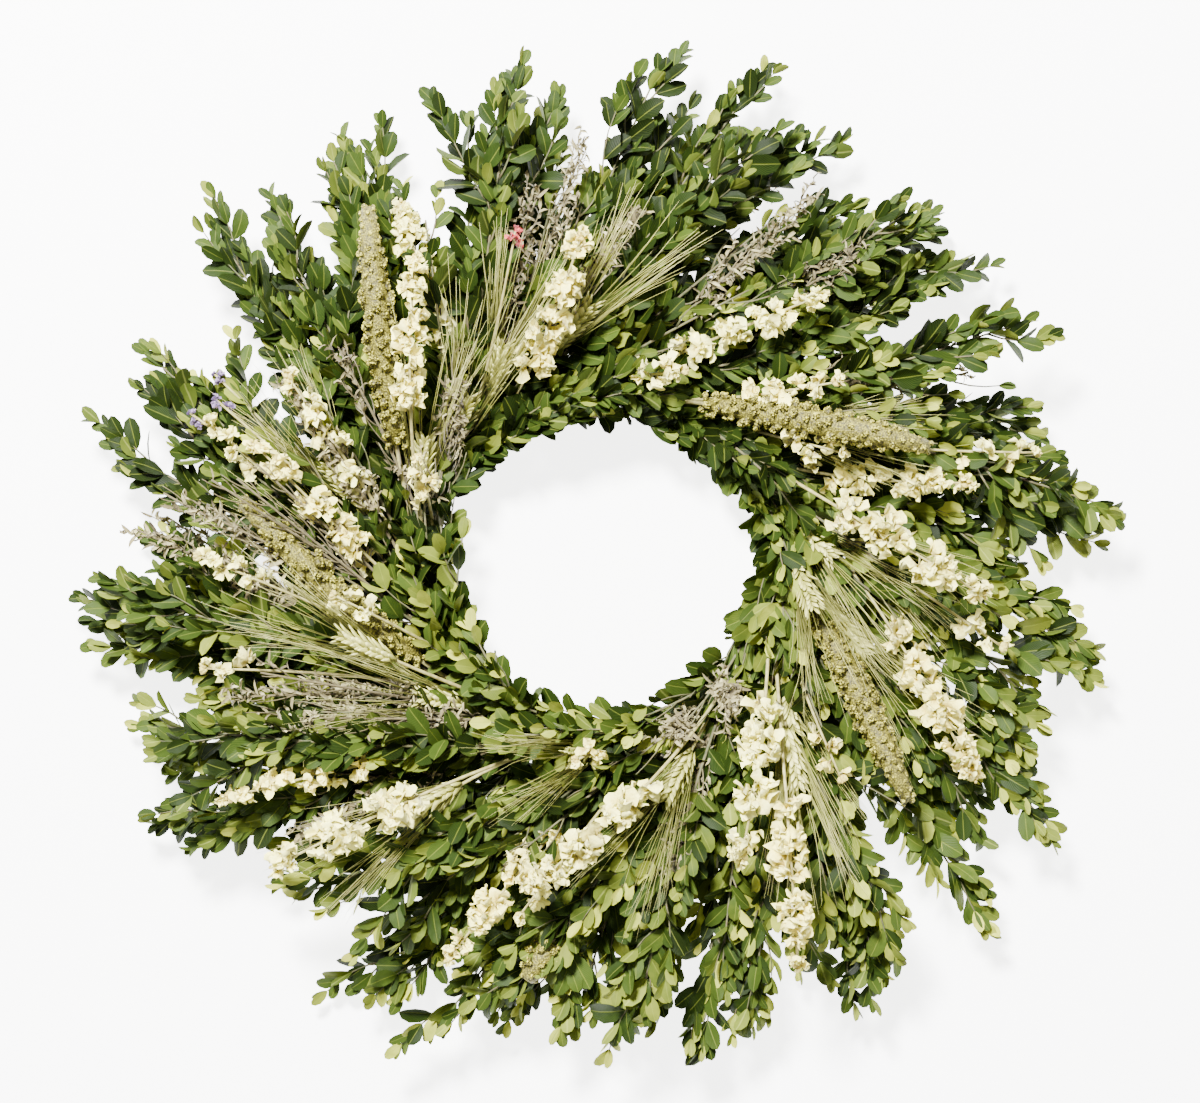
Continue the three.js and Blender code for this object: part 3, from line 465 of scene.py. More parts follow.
def boxwood_pairs(line, bare, spacing, tone, size, random):
    """Leaves in opposite pairs on a twig, from its bare foot to the small light leaves at its tip."""
    length = length_of(line)
    stops = np.arange(length, bare, -spacing)[::-1]
    if len(stops) == 0:
        return None
    stops = stops + random.uniform(-0.15, 0.15, len(stops)) * spacing
    pair = np.repeat(np.arange(len(stops)), 2)
    side = np.tile([1.0, -1.0], len(stops))
    distance = np.minimum(stops[pair], length)
    at, onward, aside, rise = along_line(line, distance)
    count = len(pair)
    from_tip = (length - distance) / YOUNG_LENGTH
    young = np.clip(1 - from_tip, 0, 1)
    lean = np.where(pair % 2 == 0, FLAT_PAIR, STEEP_PAIR) + random.normal(0, 0.25, count)
    turn = np.where(side > 0, lean, np.pi - lean)
    opened = random.normal(LEAF_OPEN, 0.16, count) * (1 - 0.55 * young)
    out = turned_to(aside, rise, turn)
    face = UP + 0.4 * onward + random.normal(0, 0.42, (count, 3)) - 0.25 * out
    turned = random.random(count) < TURNED_SHARE
    face[turned] = -face[turned] + 0.8 * aside[turned]
    scale = size * random.normal(1, 0.11, count) * (1 - YOUNG_SHRINK * young)
    width = LEAF_WIDTH * scale * random.normal(1, 0.09, count)
    tint = tone - 0.18 + random.normal(0, 0.17, count) + YOUNG_TINT * young
    return {
        "foot": at,
        "along": unit(turned_to(onward, out, opened)),
        "face": face,
        "length": LEAF_LENGTH * scale,
        "width": width,
        "tone": np.clip(tint, DEEPEST_TONE, LIGHTEST_TONE),
        "bend": random.normal(LEAF_BEND, 0.25, count),
        "fold": random.normal(LEAF_FOLD, 0.12, count),
    }


def solid_shoot(name, line):
    """Where a solid spray's side shoot forks off, and its tip: the corner that is farthest off the stem."""
    corners = np.array([v.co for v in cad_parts[name].data.vertices])
    off = np.linalg.norm(corners[:, None] - line[None], axis=2)
    farthest = off.min(axis=1).argmax()
    away = off[farthest].min()
    if away < LONGEST_LEAF:
        return None
    nearest = off[farthest].argmin()
    return length_of(line[:nearest + 1]) - away / np.tan(FORK_ANGLE), corners[farthest]


def side_shoot(line, distance, side, length, random):
    at, onward, aside, rise = (row[0] for row in along_line(line, np.array([distance])))
    spread = random.uniform(0.3, 0.7)
    lean = random.uniform(-0.25, 0.75)
    start = turned_to(onward, turned_to(aside * side, rise, lean), spread)
    t = np.linspace(0, 1, SHOOT_POINTS)[:, None]
    return at + start * length * t + (onward - start) * length * 0.5 * t * t


def boxwood_spray(
    line, tone, random, bare=0.3, shoots=9, reach=SHOOT_REACH, size=LEAF_SIZE, points=5, fork=None,
):
    """A twig with its side shoots and all their leaves, as mesh parts."""
    line = within_reach(np.vstack([line, line[-1] + unit(line[-1] - line[-2]) * TIP_GROWTH]))
    length = length_of(line)
    rows = [boxwood_pairs(line, length * bare, PAIR_SPACING, tone, size, random)]
    lines = []
    if fork:
        start = along_line(line, np.array([fork[0]]))[0][0]
        bow = unit(line[-1] - line[-2]) * np.linalg.norm(fork[1] - start) * FORK_BOW
        t = np.linspace(0, 1, SHOOT_POINTS)[:, None]
        lines.append(start + (fork[1] - start) * t - bow * t * (1 - t))
        rows.append(boxwood_pairs(lines[0], FORK_BARE, PAIR_SPACING * 0.85, tone, size, random))
    for i in range(shoots):
        share = bare + (LAST_SHOOT - bare) * (i + random.uniform(0.1, 0.9)) / shoots
        shoot_length = reach * random.uniform(0.5, 1.0) * (1.15 - 0.45 * share)
        shoot = side_shoot(line, share * length, 1 if i % 2 else -1, shoot_length, random)
        if len(within_reach(shoot)) < len(shoot):
            continue
        lines.append(shoot)
        shoot_tone = tone + random.normal(0, 0.07)
        spacing = PAIR_SPACING * random.uniform(0.72, 0.95)
        rows.append(boxwood_pairs(shoot, SHOOT_BARE, spacing, shoot_tone, size, random))
    row = join_rows([r for r in rows if r is not None])
    leaves = blades(**row, shape=LEAF_SHAPE, thickness=LEAF_THICKNESS, points=points, backed=True)
    parts = [(0, leaves), (2, stem_tube(line, STEM_RADIUS, STEM_RADIUS * TWIG_TAPER, sides=5, tone=tone))]
    if lines:
        parts.append((2, shoot_tubes(lines, *SHOOT_RADII, tone)))
    return parts


def math_of(tree, operation, first, second=0.0):
    return add_node(tree, "ShaderNodeMath", {0: first, 1: second}, operation=operation).outputs[0]


def blend_colors(tree, share, first, second):
    node = add_node(tree, "ShaderNodeMix", {0: share, 6: first, 7: second}, data_type="RGBA")
    return node.outputs[2]


def tone_of(tree):
    """The tint that each leaf, petal, husk or grain was given in its mesh."""
    return add_node(tree, "ShaderNodeAttribute", attribute_name="tone").outputs["Fac"]


def across_and_along(tree):
    """How far across and how far along its leaf, petal or husk a spot lies, from 0 to 1."""
    uv = add_node(tree, "ShaderNodeTexCoord").outputs["UV"]
    split = add_node(tree, "ShaderNodeSeparateXYZ", {"Vector": uv})
    return split.outputs["X"], split.outputs["Y"]


def varied(tree, value, pattern, amount):
    """A value raised and lowered by a pattern that runs from 0 to 1."""
    swing = math_of(tree, "MULTIPLY", math_of(tree, "SUBTRACT", pattern, 0.5), amount)
    return math_of(tree, "ADD", value, swing)


def leaf_material(name, stops, rib, roughness, rib_width, gloss):
    """A leaf side with its midrib and its slanting side veins."""
    material, tree, shader = start_material(name, roughness)
    shader.inputs["Specular IOR Level"].default_value = gloss
    color = ramp(tree, varied(tree, tone_of(tree), noise(tree, scale=130), 0.22), stops)
    across, along = across_and_along(tree)
    off = math_of(tree, "ABSOLUTE", math_of(tree, "SUBTRACT", across, 0.5))
    rib_share = ramp(tree, off, [(0.0, (1, 1, 1)), (rib_width, RIB_EDGE), (rib_width * 2, (0, 0, 0))])
    slant = math_of(tree, "SUBTRACT", along, math_of(tree, "MULTIPLY", off, VEIN_SLANT))
    wave = math_of(tree, "SINE", math_of(tree, "MULTIPLY", slant, VEIN_RATE))
    veined = blend_colors(tree, math_of(tree, "MULTIPLY", wave, VEIN_TINT), color, rib)
    ribbed = blend_colors(tree, math_of(tree, "MULTIPLY", rib_share, RIB_TINT), veined, rib)
    tree.links.new(ribbed, shader.inputs["Base Color"])
    sunk = math_of(tree, "MULTIPLY", rib_share, -1.0)
    height = math_of(tree, "ADD", math_of(tree, "MULTIPLY", wave, 0.25), sunk)
    raise_surface(tree, shader, height, distance=0.0002, strength=0.7)
    return material


leaf_face = leaf_material("boxwood_leaf_face", [
    (0.0, (0.002, 0.0065, 0.001)), (0.3, (0.0105, 0.0235, 0.0032)), (0.55, (0.04, 0.066, 0.009)),
    (0.78, (0.155, 0.18, 0.02)), (0.94, (0.44, 0.465, 0.062)), (1.0, (0.52, 0.49, 0.08)),
], rib=(0.25, 0.29, 0.04, 1), roughness=0.45, rib_width=0.022, gloss=0.07)
leaf_back = leaf_material("boxwood_leaf_back", [
    (0.0, (0.022, 0.037, 0.004)), (0.35, (0.058, 0.085, 0.009)), (0.65, (0.165, 0.197, 0.022)),
    (0.9, (0.35, 0.38, 0.05)), (1.0, (0.47, 0.43, 0.07)),
], rib=(0.4, 0.44, 0.1, 1), roughness=0.6, rib_width=0.045, gloss=0.12)
twig_bark, tree, shader = start_material("boxwood_twig", roughness=0.7)
streaks = noise(tree, scale=300, detail=5)
paint(tree, shader, streaks, [
    (0.3, (0.05, 0.065, 0.02)), (0.55, (0.11, 0.1, 0.04)), (0.75, (0.09, 0.05, 0.025)),
])
raise_surface(tree, shader, streaks, distance=0.0004)
BOXWOOD_FINISHES = [leaf_face, leaf_back, twig_bark]
MIDDLE_TONE = 0.42
TOP_SHADE = 0.1
LEFT_SHADE = 0.02


def sector_tone(line):
    """The photo's wreath is darker at its top and a little darker at its left."""
    x, y = (line[-1] - ring_middle)[:2]
    angle = np.arctan2(y, x)
    return MIDDLE_TONE - TOP_SHADE * np.sin(angle) + LEFT_SHADE * np.cos(angle)


random = np.random.default_rng(52)
for i, node, line in solid_stems("boxwood", BOXWOOD_TIPS, BOXWOOD_OVERHANG, STEM_TAPER):
    tone = sector_tone(line) + random.normal(0, 0.05)
    parts = boxwood_spray(line, tone, random, fork=solid_shoot(node, line))
    piece = make_piece(f"boxwood_spray_{i + 1:02d}", parts, BOXWOOD_FINISHES, "boxwood")
    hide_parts(node)

# The artemisia
# Sprigs of dried silver artemisia, tucked in at the back and between the boxwood. A thin woody stem carries
# fine side branches, all set with narrow felted leaves that curled up as they dried.
ARTEMISIA_TIPS = [(208, 227, 36), (170, 268, 18), (97, 248, 20), (61, 259, 18), (271, 222, 22)]
ARTEMISIA_OVERHANG = 16
ARTEMISIA_EXTRAS = [
    (206, 205, 76), (200, 222, 74), (198, 200, 78), (203, 238, 66), (209, 180, 76), (176, 262, 62),
    (172, 236, 78), (168, 222, 82), (164, 200, 80), (171, 248, 74), (167, 208, 84), (150, 206, 70),
    (141, 188, 66), (128, 132, 64), (100, 215, 60), (84, 200, 62), (60, 240, 54), (50, 232, 50),
    (28, 235, 50), (283, 182, 66), (292, 106, 58), (310, 102, 56), (137, 114, 56), (152, 106, 52),
    (222, 232, 56), (92, 240, 52),
]
SPRIG_HEAD = 0.115
TUFT_HEAD = 0.1
LEAST_FOOT = 0.02
ARTEMISIA_BRANCHES = 14
BRANCH_REACH = (0.016, 0.036)
BRANCH_BARE = 0.002
BRANCH_RADII = (0.0006, 0.0003)
CURL_STEP = 0.0018
CURL_LENGTH = (0.005, 0.0105)
CURL_WIDTH = (0.0012, 0.0024)
CURL_THICKNESS = 0.0003
CURL_SHAPE = [(0.28, 1.0), (0.7, 0.85)]
NEAREST_TIP = 108
ROOT_OUT = 0.004
ROOT_LEVEL = (0.008, 0.015)
LOOSE_STEPS = 14

felt, tree, shader = start_material("artemisia_felt", roughness=0.95)
paint(tree, shader, varied(tree, tone_of(tree), noise(tree, scale=400), 0.5), [
    (0.0, (0.045, 0.034, 0.013)), (0.35, (0.15, 0.122, 0.052)), (0.7, (0.32, 0.28, 0.13)),
    (1.0, (0.56, 0.5, 0.25)),
])
shader.inputs["Sheen Weight"].default_value = 0.12
raise_surface(tree, shader, noise(tree, scale=1500), distance=0.0003)


def loose_place(turn, random):
    """Where a loose stem starts in a clamp at a turn of the ring, with the ways outward and along there."""
    outward, along, place = ring_place(turn)
    start = place + outward * random.uniform(-ROOT_OUT, ROOT_OUT) + UP * random.uniform(*ROOT_LEVEL)
    return outward, along, start


def stem_to(degrees, distance, height, random):
    """The line of a stem from the ring to a tip that the photo shows."""
    distance = max(distance, NEAREST_TIP) / 1000
    root = np.radians(degrees) + np.arccos(RING_RADIUS / distance) * random.uniform(0.75, 1.0)
    along, start = loose_place(root, random)[1:]
    return bent_stem(start, along, polar(degrees, distance, height / 1000), 0, LOOSE_STEPS)


def artemisia_sprig(line, random, head=SPRIG_HEAD):
    """A sprig with curled leaves on its stem and on fine side branches, as mesh parts."""
    length = length_of(line)
    foot = max(length - head, LEAST_FOOT)
    branches, rows = [], []
    for i in range(ARTEMISIA_BRANCHES):
        distance = foot + (length - foot) * i / (ARTEMISIA_BRANCHES + 0.5)
        reach = random.uniform(*BRANCH_REACH) * (1.1 - 0.55 * i / ARTEMISIA_BRANCHES)
        branches.append(side_shoot(line, distance, 1 if i % 2 else -1, reach, random))
    tone = random.uniform(0.35, 0.65)
    for j, branch in enumerate([line] + branches):
        distance = np.arange(BRANCH_BARE if j else foot, length_of(branch), CURL_STEP)
        at, onward, aside, rise = along_line(branch, distance)
        count = len(distance)
        out = turned_to(aside, rise, random.uniform(0, 2 * np.pi, count))
        opened = random.uniform(0.4, 1.25, count)
        rows.append({
            "foot": at,
            "along": unit(turned_to(onward, out, opened)),
            "face": UP + random.normal(0, 0.8, (count, 3)),
            "length": random.uniform(*CURL_LENGTH, count),
            "width": random.uniform(*CURL_WIDTH, count),
            "tone": np.clip(tone + random.normal(0, 0.2, count), 0, 1),
            "bend": random.choice([-1, 1], count) * random.uniform(0.8, 2.8, count),
            "fold": random.uniform(0.2, 0.7, count),
        })
    return [
        (0, blades(**join_rows(rows), shape=CURL_SHAPE, thickness=CURL_THICKNESS)),
        (0, stem_tube(line, STEM_RADIUS, BRANCH_RADII[0], sides=5, tone=0.25)),
        (0, shoot_tubes(branches, *BRANCH_RADII, tone=0.3)),
    ]


for i, node, line in solid_stems("artemisia", ARTEMISIA_TIPS, ARTEMISIA_OVERHANG, STEM_TAPER):
    piece = make_piece(f"artemisia_sprig_{i + 1:02d}", artemisia_sprig(line, random), [felt], "artemisia")
    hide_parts(node)
for i, (degrees, reach, height) in enumerate(ARTEMISIA_EXTRAS):
    line = stem_to(degrees, reach, height, random)
    head = min(TUFT_HEAD, 0.6 * length_of(line))
    sprig = artemisia_sprig(line, random, head)
    keep_clear(along_line(line, length_of(line) - head * np.linspace(0, 0.75, 40))[0], reach=4)
    make_piece(f"artemisia_tuft_{i + 1:02d}", sprig, [felt], "artemisia")

# The boxwood of the face
# Shorter boxwood twigs, wired into the same loops in front of the long ones. They cover the ring, the stems
# and the clamps, and give the wreath its full face, down to the edge of the hole. A sort of twig is its
# shortest and longest length, its least and most lean outward in degrees, and its lowest and highest tip.
FACE_SPRAYS = 150
FACE_LEAF_SIZE = 1.07
FACE_LIFT = 0.012
NEAR_SORTS = 3
# For each sort: the side shoots of a twig, and the mesh points across a leaf.
SORT_SHOOTS = [5, 5, 5, 9, 9, 7]
SORT_POINTS = [3, 3, 5, 3, 3, 3]
SPRAY_SORTS = [
    (0.065, 0.105, -37, -8, 0.028, 0.06),
    (0.12, 0.165, -4, 14, 0.04, 0.07),
    (0.16, 0.21, 0, 14, 0.03, 0.06),
    (0.2, 0.26, 0, 13, 0.014, 0.04),
    (0.17, 0.235, 6, 20, 0.02, 0.048),
    (0.15, 0.225, -6, 12, 0.01, 0.026),
]


def loose_stem(turn, length, degrees, height, random):
    """The line of a stem that starts in a clamp at a turn of the ring and leans outward by some degrees."""
    outward, along, start = loose_place(turn, random)
    tip = start + turned_to(along, outward, np.radians(degrees)) * length
    tip[2] = height
    return bent_stem(start, along, tip, random.uniform(0, FACE_LIFT), LOOSE_STEPS)


bunches = [[] for _ in range(CLAMP_COUNT)]
for i in range(FACE_SPRAYS):
    sort = i % len(SPRAY_SORTS)
    shortest, longest, inmost, outmost, lowest, highest = SPRAY_SORTS[sort]
    turn = (i // len(SPRAY_SORTS) + random.uniform(0.1, 0.9)) * 2 * np.pi / (FACE_SPRAYS / len(SPRAY_SORTS))
    line = within_reach(loose_stem(
        turn,
        random.uniform(shortest, longest),
        random.uniform(inmost, outmost),
        random.uniform(lowest, highest),
        random,
    ))
    near = sort < NEAR_SORTS
    # Painted shade: the lower, longer sorts lying under the others get a darker tone, the higher, shorter
    # ones a lighter one.
    tone = sector_tone(line) + random.normal(0.03 if near else -0.05, 0.09)
    bunches[i * CLAMP_COUNT // FACE_SPRAYS] += boxwood_spray(
        line, tone, random, bare=0.12 if near else 0.3, shoots=SORT_SHOOTS[sort],
        reach=0.05 if near else 0.06, size=FACE_LEAF_SIZE, points=SORT_POINTS[sort],
    )
for i, parts in enumerate(bunches):
    make_piece(f"boxwood_bunch_{i + 1:02d}", parts, BOXWOOD_FINISHES, "boxwood")

# The millet heads
# Dried foxtail millet on its straw: a thick blunt spike of rounded lobes, each packed with tiny grains,
# green-gold; painted shade darkens the grains deep between the lobes and the gaps between the grains.
# Of the short one only the end shows.
MILLET_TIPS = [(121, 240, 48), (29, 196, 58), (318, 221, 56), (178, 206, 54)]
MILLET_LUMPS = [0.07, 0.07, 0.1, 0.24]
SHORT_MILLET = [(260, 240, 62, 0.026, 24)]
SHORT_LUMPS = 0.1
LUMP_RATE = 34
TIP_TAPER = 0.3
MILLET_HEAD = 0.143
MILLET_RADIUS = 0.0086
LOBE_COUNT = 150
GRAINS_PER_LOBE = 22
GRAIN_RADII = (0.0006, 0.0009)
GRAIN_CELLS = 950.0
GOLDEN_TURN = np.pi * (3 - 5 ** 0.5)
GOLDEN = (1 + 5 ** 0.5) / 2
ICO_CORNERS = unit(np.array([
    np.roll((x, y * GOLDEN, 0), axis) for axis in range(3) for y in (1, -1) for x in (-1, 1)
]))
ICO_FACES = np.array([
    (0, 11, 5), (0, 5, 1), (0, 1, 7), (0, 7, 10), (0, 10, 11), (1, 5, 9), (5, 11, 4), (11, 10, 2),
    (10, 7, 6), (7, 1, 8), (3, 9, 4), (3, 4, 2), (3, 2, 6), (3, 6, 8), (3, 8, 9), (4, 9, 5), (2, 4, 11),
    (6, 2, 10), (8, 6, 7), (9, 8, 1),
])
SMALL_CORNERS = np.array([(1, 0, 0), (0, 1, 0), (-1, 0, 0), (0, -1, 0), (0, 0, 1), (0, 0, -1)])
SMALL_FACES = np.array([
    (0, 1, 4), (1, 2, 4), (2, 3, 4), (3, 0, 4), (1, 0, 5), (2, 1, 5), (3, 2, 5), (0, 3, 5),
])

grain_husk, tree, shader = start_material("millet_grain", roughness=0.6)
place = add_node(tree, "ShaderNodeTexCoord").outputs["Object"]
cells = add_node(tree, "ShaderNodeTexVoronoi", {"Vector": place, "Scale": GRAIN_CELLS}).outputs["Distance"]
# Painted shade: the edges of these small cells, which stand for the gaps between grains, are darkened.
painted_gap_shade = math_of(tree, "MULTIPLY", cells, 0.85)
paint(tree, shader, math_of(tree, "SUBTRACT", math_of(tree, "ADD", tone_of(tree), 0.3), painted_gap_shade), [
    (0.0, (0.03, 0.025, 0.003)), (0.35, (0.13, 0.115, 0.012)), (0.7, (0.37, 0.335, 0.034)),
    (1.0, (0.74, 0.68, 0.115)),
])
raise_surface(tree, shader, math_of(tree, "MULTIPLY", cells, -1.0), distance=0.0004)
straw, tree, shader = start_material("dried_straw", roughness=0.55)
fibres = noise(tree, scale=260, detail=5)
paint(tree, shader, fibres, [
    (0.3, (0.22, 0.19, 0.055)), (0.55, (0.37, 0.33, 0.115)), (0.75, (0.52, 0.48, 0.2)),
])
raise_surface(tree, shader, fibres, distance=0.0003)


def grains(at, axis, radius, slender, tone, corners=ICO_CORNERS, sides=ICO_FACES):
    """Small rounded grains, all at once, drawn out along their axes."""
    count, per_grain = len(at), len(corners)
    ball = np.einsum("n,ij->nij", radius, corners)
    on = np.einsum("nij,nj->ni", ball, axis)
    ball = ball + on[..., None] * axis[:, None] * (slender - 1)
    faces = sides[None] + (np.arange(count) * per_grain)[:, None, None]
    return {
        "vertices": (at[:, None] + ball).reshape(-1, 3),
        "faces": faces.reshape(-1, 3),
        "uv": np.zeros((count * per_grain, 2)),
        "tone": np.repeat(tone, per_grain),
        "finish": np.zeros(count * len(sides), int),
        "edge": np.zeros(count * per_grain, bool),
    }


def millet_head(line, random, lumps, head=MILLET_HEAD, lobes=LOBE_COUNT):
    """A millet spike at the end of its straw, as mesh parts."""
    length = length_of(line)
    share = (np.arange(lobes) + 0.5) / lobes
    thick = MILLET_RADIUS * np.clip(np.sin(np.pi * (0.1 + 0.84 * share)), 0, 1) ** 0.5
    thick *= (1 + lumps * np.sin(share * LUMP_RATE)) * (1 - TIP_TAPER * share ** 4)
    at, onward, aside, rise = along_line(line, length - head * (1 - share))
    out = turned_to(aside, rise, np.arange(lobes) * GOLDEN_TURN + random.normal(0, 0.2, lobes))
    lobe_radius = thick * random.uniform(0.25, 0.36, lobes)
    lobe_at = at + out * (thick * random.uniform(0.8, 1.04, lobes))[:, None]
    way = unit(random.normal(0, 1, (lobes, GRAINS_PER_LOBE, 3)) + out[:, None] * 1.1)
    grain_at = lobe_at[:, None] + way * lobe_radius[:, None, None] * 0.95
    # Painted shade: grains that lie deeper towards the spike's core, between the lobes, get a darker tone.
    depth_for_shade = np.einsum("nkj,nj->nk", grain_at - at[:, None], out) / (thick[:, None] * 1.5)
    tone = np.clip(0.1 + 0.75 * depth_for_shade + random.normal(0, 0.23, depth_for_shade.shape), 0, 1)
    size = random.uniform(*GRAIN_RADII, lobes * GRAINS_PER_LOBE)
    fruit = grains(
        grain_at.reshape(-1, 3), way.reshape(-1, 3), size, 1.2, tone.ravel(), SMALL_CORNERS, SMALL_FACES,
    )
    cores = grains(lobe_at, onward, lobe_radius * 0.92, 1.1, np.full(lobes, 0.3))
    core_share = np.linspace(0.02, 0.98, 12)
    core_line = along_line(line, length - head * (1 - core_share))[0]
    core_radius = MILLET_RADIUS * 0.82 * np.clip(np.sin(np.pi * (0.08 + 0.84 * core_share)), 0, 1) ** 0.5
    below = line[: max(3, int(len(line) * (1 - head / length)) + 2)]
    return [
        (0, fruit),
        (0, cores),
        (0, tubes(core_line[None], core_radius[None], 14, np.array([0.45]))),
        (1, stem_tube(below, STEM_RADIUS, STEM_RADIUS, sides=6, tone=0.5)),
    ]


for i, node, line in solid_stems("millet", MILLET_TIPS):
    head = millet_head(line, random, MILLET_LUMPS[i])
    piece = make_piece(f"millet_head_{i + 1:02d}", head, [grain_husk, straw], "millet")
    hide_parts(node)
for i, (degrees, reach, height, head, lobes) in enumerate(SHORT_MILLET):
    line = stem_to(degrees, reach, height, random)
    short = millet_head(line, random, SHORT_LUMPS, head, lobes)
    make_piece(f"millet_short_{i + 1:02d}", short, [grain_husk, straw], "millet")

# The larkspur spikes
# Dried larkspur: straight stems whose upper part is crowded with papery double florets, crumpled as they
# dried, cream to peach, with painted shade as tan in their creases and towards the heart of each floret, and
# with a few closed buds at the tip. A further spike is its tip, the length of its head and how many florets
# it has.
LARKSPUR_TIPS = [
    (125, 199, 64), (111, 232, 52), (89, 185, 66), (60, 197, 64), (6, 214, 60), (345, 214, 62),
    (336, 244, 48), (301, 184, 66), (286, 251, 52), (267, 187, 62), (239, 239, 54), (213, 248, 56),
    (171, 206, 62),
]
LARKSPUR_EXTRAS = [
    (37, 168, 78, 0.07, 13), (14, 255, 62, 0.05, 7), (348, 232, 70, 0.04, 6), (318, 182, 78, 0.035, 4),
    (257, 205, 72, 0.06, 10), (149, 206, 74, 0.09, 13), (150, 118, 74, 0.04, 5), (160, 236, 64, 0.05, 6),
    (195, 230, 76, 0.03, 3), (263, 112, 72, 0.03, 4), (66, 118, 70, 0.04, 5), (24, 150, 76, 0.05, 6),
    (212, 250, 78, 0.105, 19), (179, 226, 76, 0.045, 6), (187, 150, 82, 0.03, 4),
]
LARKSPUR_HEAD = 0.104
FLORETS = 28
FEW_FLORETS = 6
SPIKE_SIZES = (0.9, 1.16)
SMALL_SPIKE = 0.94
HEAD_ROOM = 0.0028
FLORET_STALK = 0.0042
STALK_RADIUS = 0.0006
OUTER_PETALS = 5
PETALS = 11
PETAL_LENGTHS = (0.0094, 0.0066)
PETAL_WIDTHS = (0.0062, 0.0043)
PETAL_FLARES = (1.2, 0.75)
PETAL_SHAPE = [(0.2, 0.46), (0.6, 1.0), (0.9, 0.56)]
PETAL_THICKNESS = 0.0003
PETAL_RUFFLE = 0.0015
PETAL_FRILL = 0.34
BUDS = 7
BUD_RADII = (0.0018, 0.001)
BUD_TONE = 0.85


def petal_material(name, stops):
    """Dry crumpled petals, paler towards their rims, with painted shade darker towards the heart of the
    floret and in blotches that stand for shaded creases.
    """
    material, tree, shader = start_material(name, roughness=0.85)
    # Painted shade: the tone falls towards the petal's base at the floret's heart and rises towards its rim.
    rim = math_of(tree, "MULTIPLY", math_of(tree, "SUBTRACT", across_and_along(tree)[1], 0.6), 0.95)
    tint = math_of(tree, "ADD", tone_of(tree), rim)
    # Painted shade: a fine noise darkens blotches that stand for the shade in the crumpled petals' creases.
    paint(tree, shader, varied(tree, tint, noise(tree, scale=680, detail=6), 0.9), stops)
    shader.inputs["Sheen Weight"].default_value = 0.15
    raise_surface(tree, shader, noise(tree, scale=700, detail=5), distance=0.0006, strength=0.8)
    return material


cream_petal = petal_material("larkspur_cream_petal", [
    (0.0, (0.24, 0.165, 0.03)), (0.3, (0.58, 0.49, 0.11)), (0.6, (0.87, 0.8, 0.22)), (1.0, (1.0, 0.96, 0.33)),
])
peach_petal = petal_material("larkspur_peach_petal", [
    (0.0, (0.26, 0.165, 0.03)), (0.3, (0.6, 0.48, 0.095)), (0.6, (0.89, 0.78, 0.185)),
    (1.0, (1.0, 0.93, 0.29)),
])


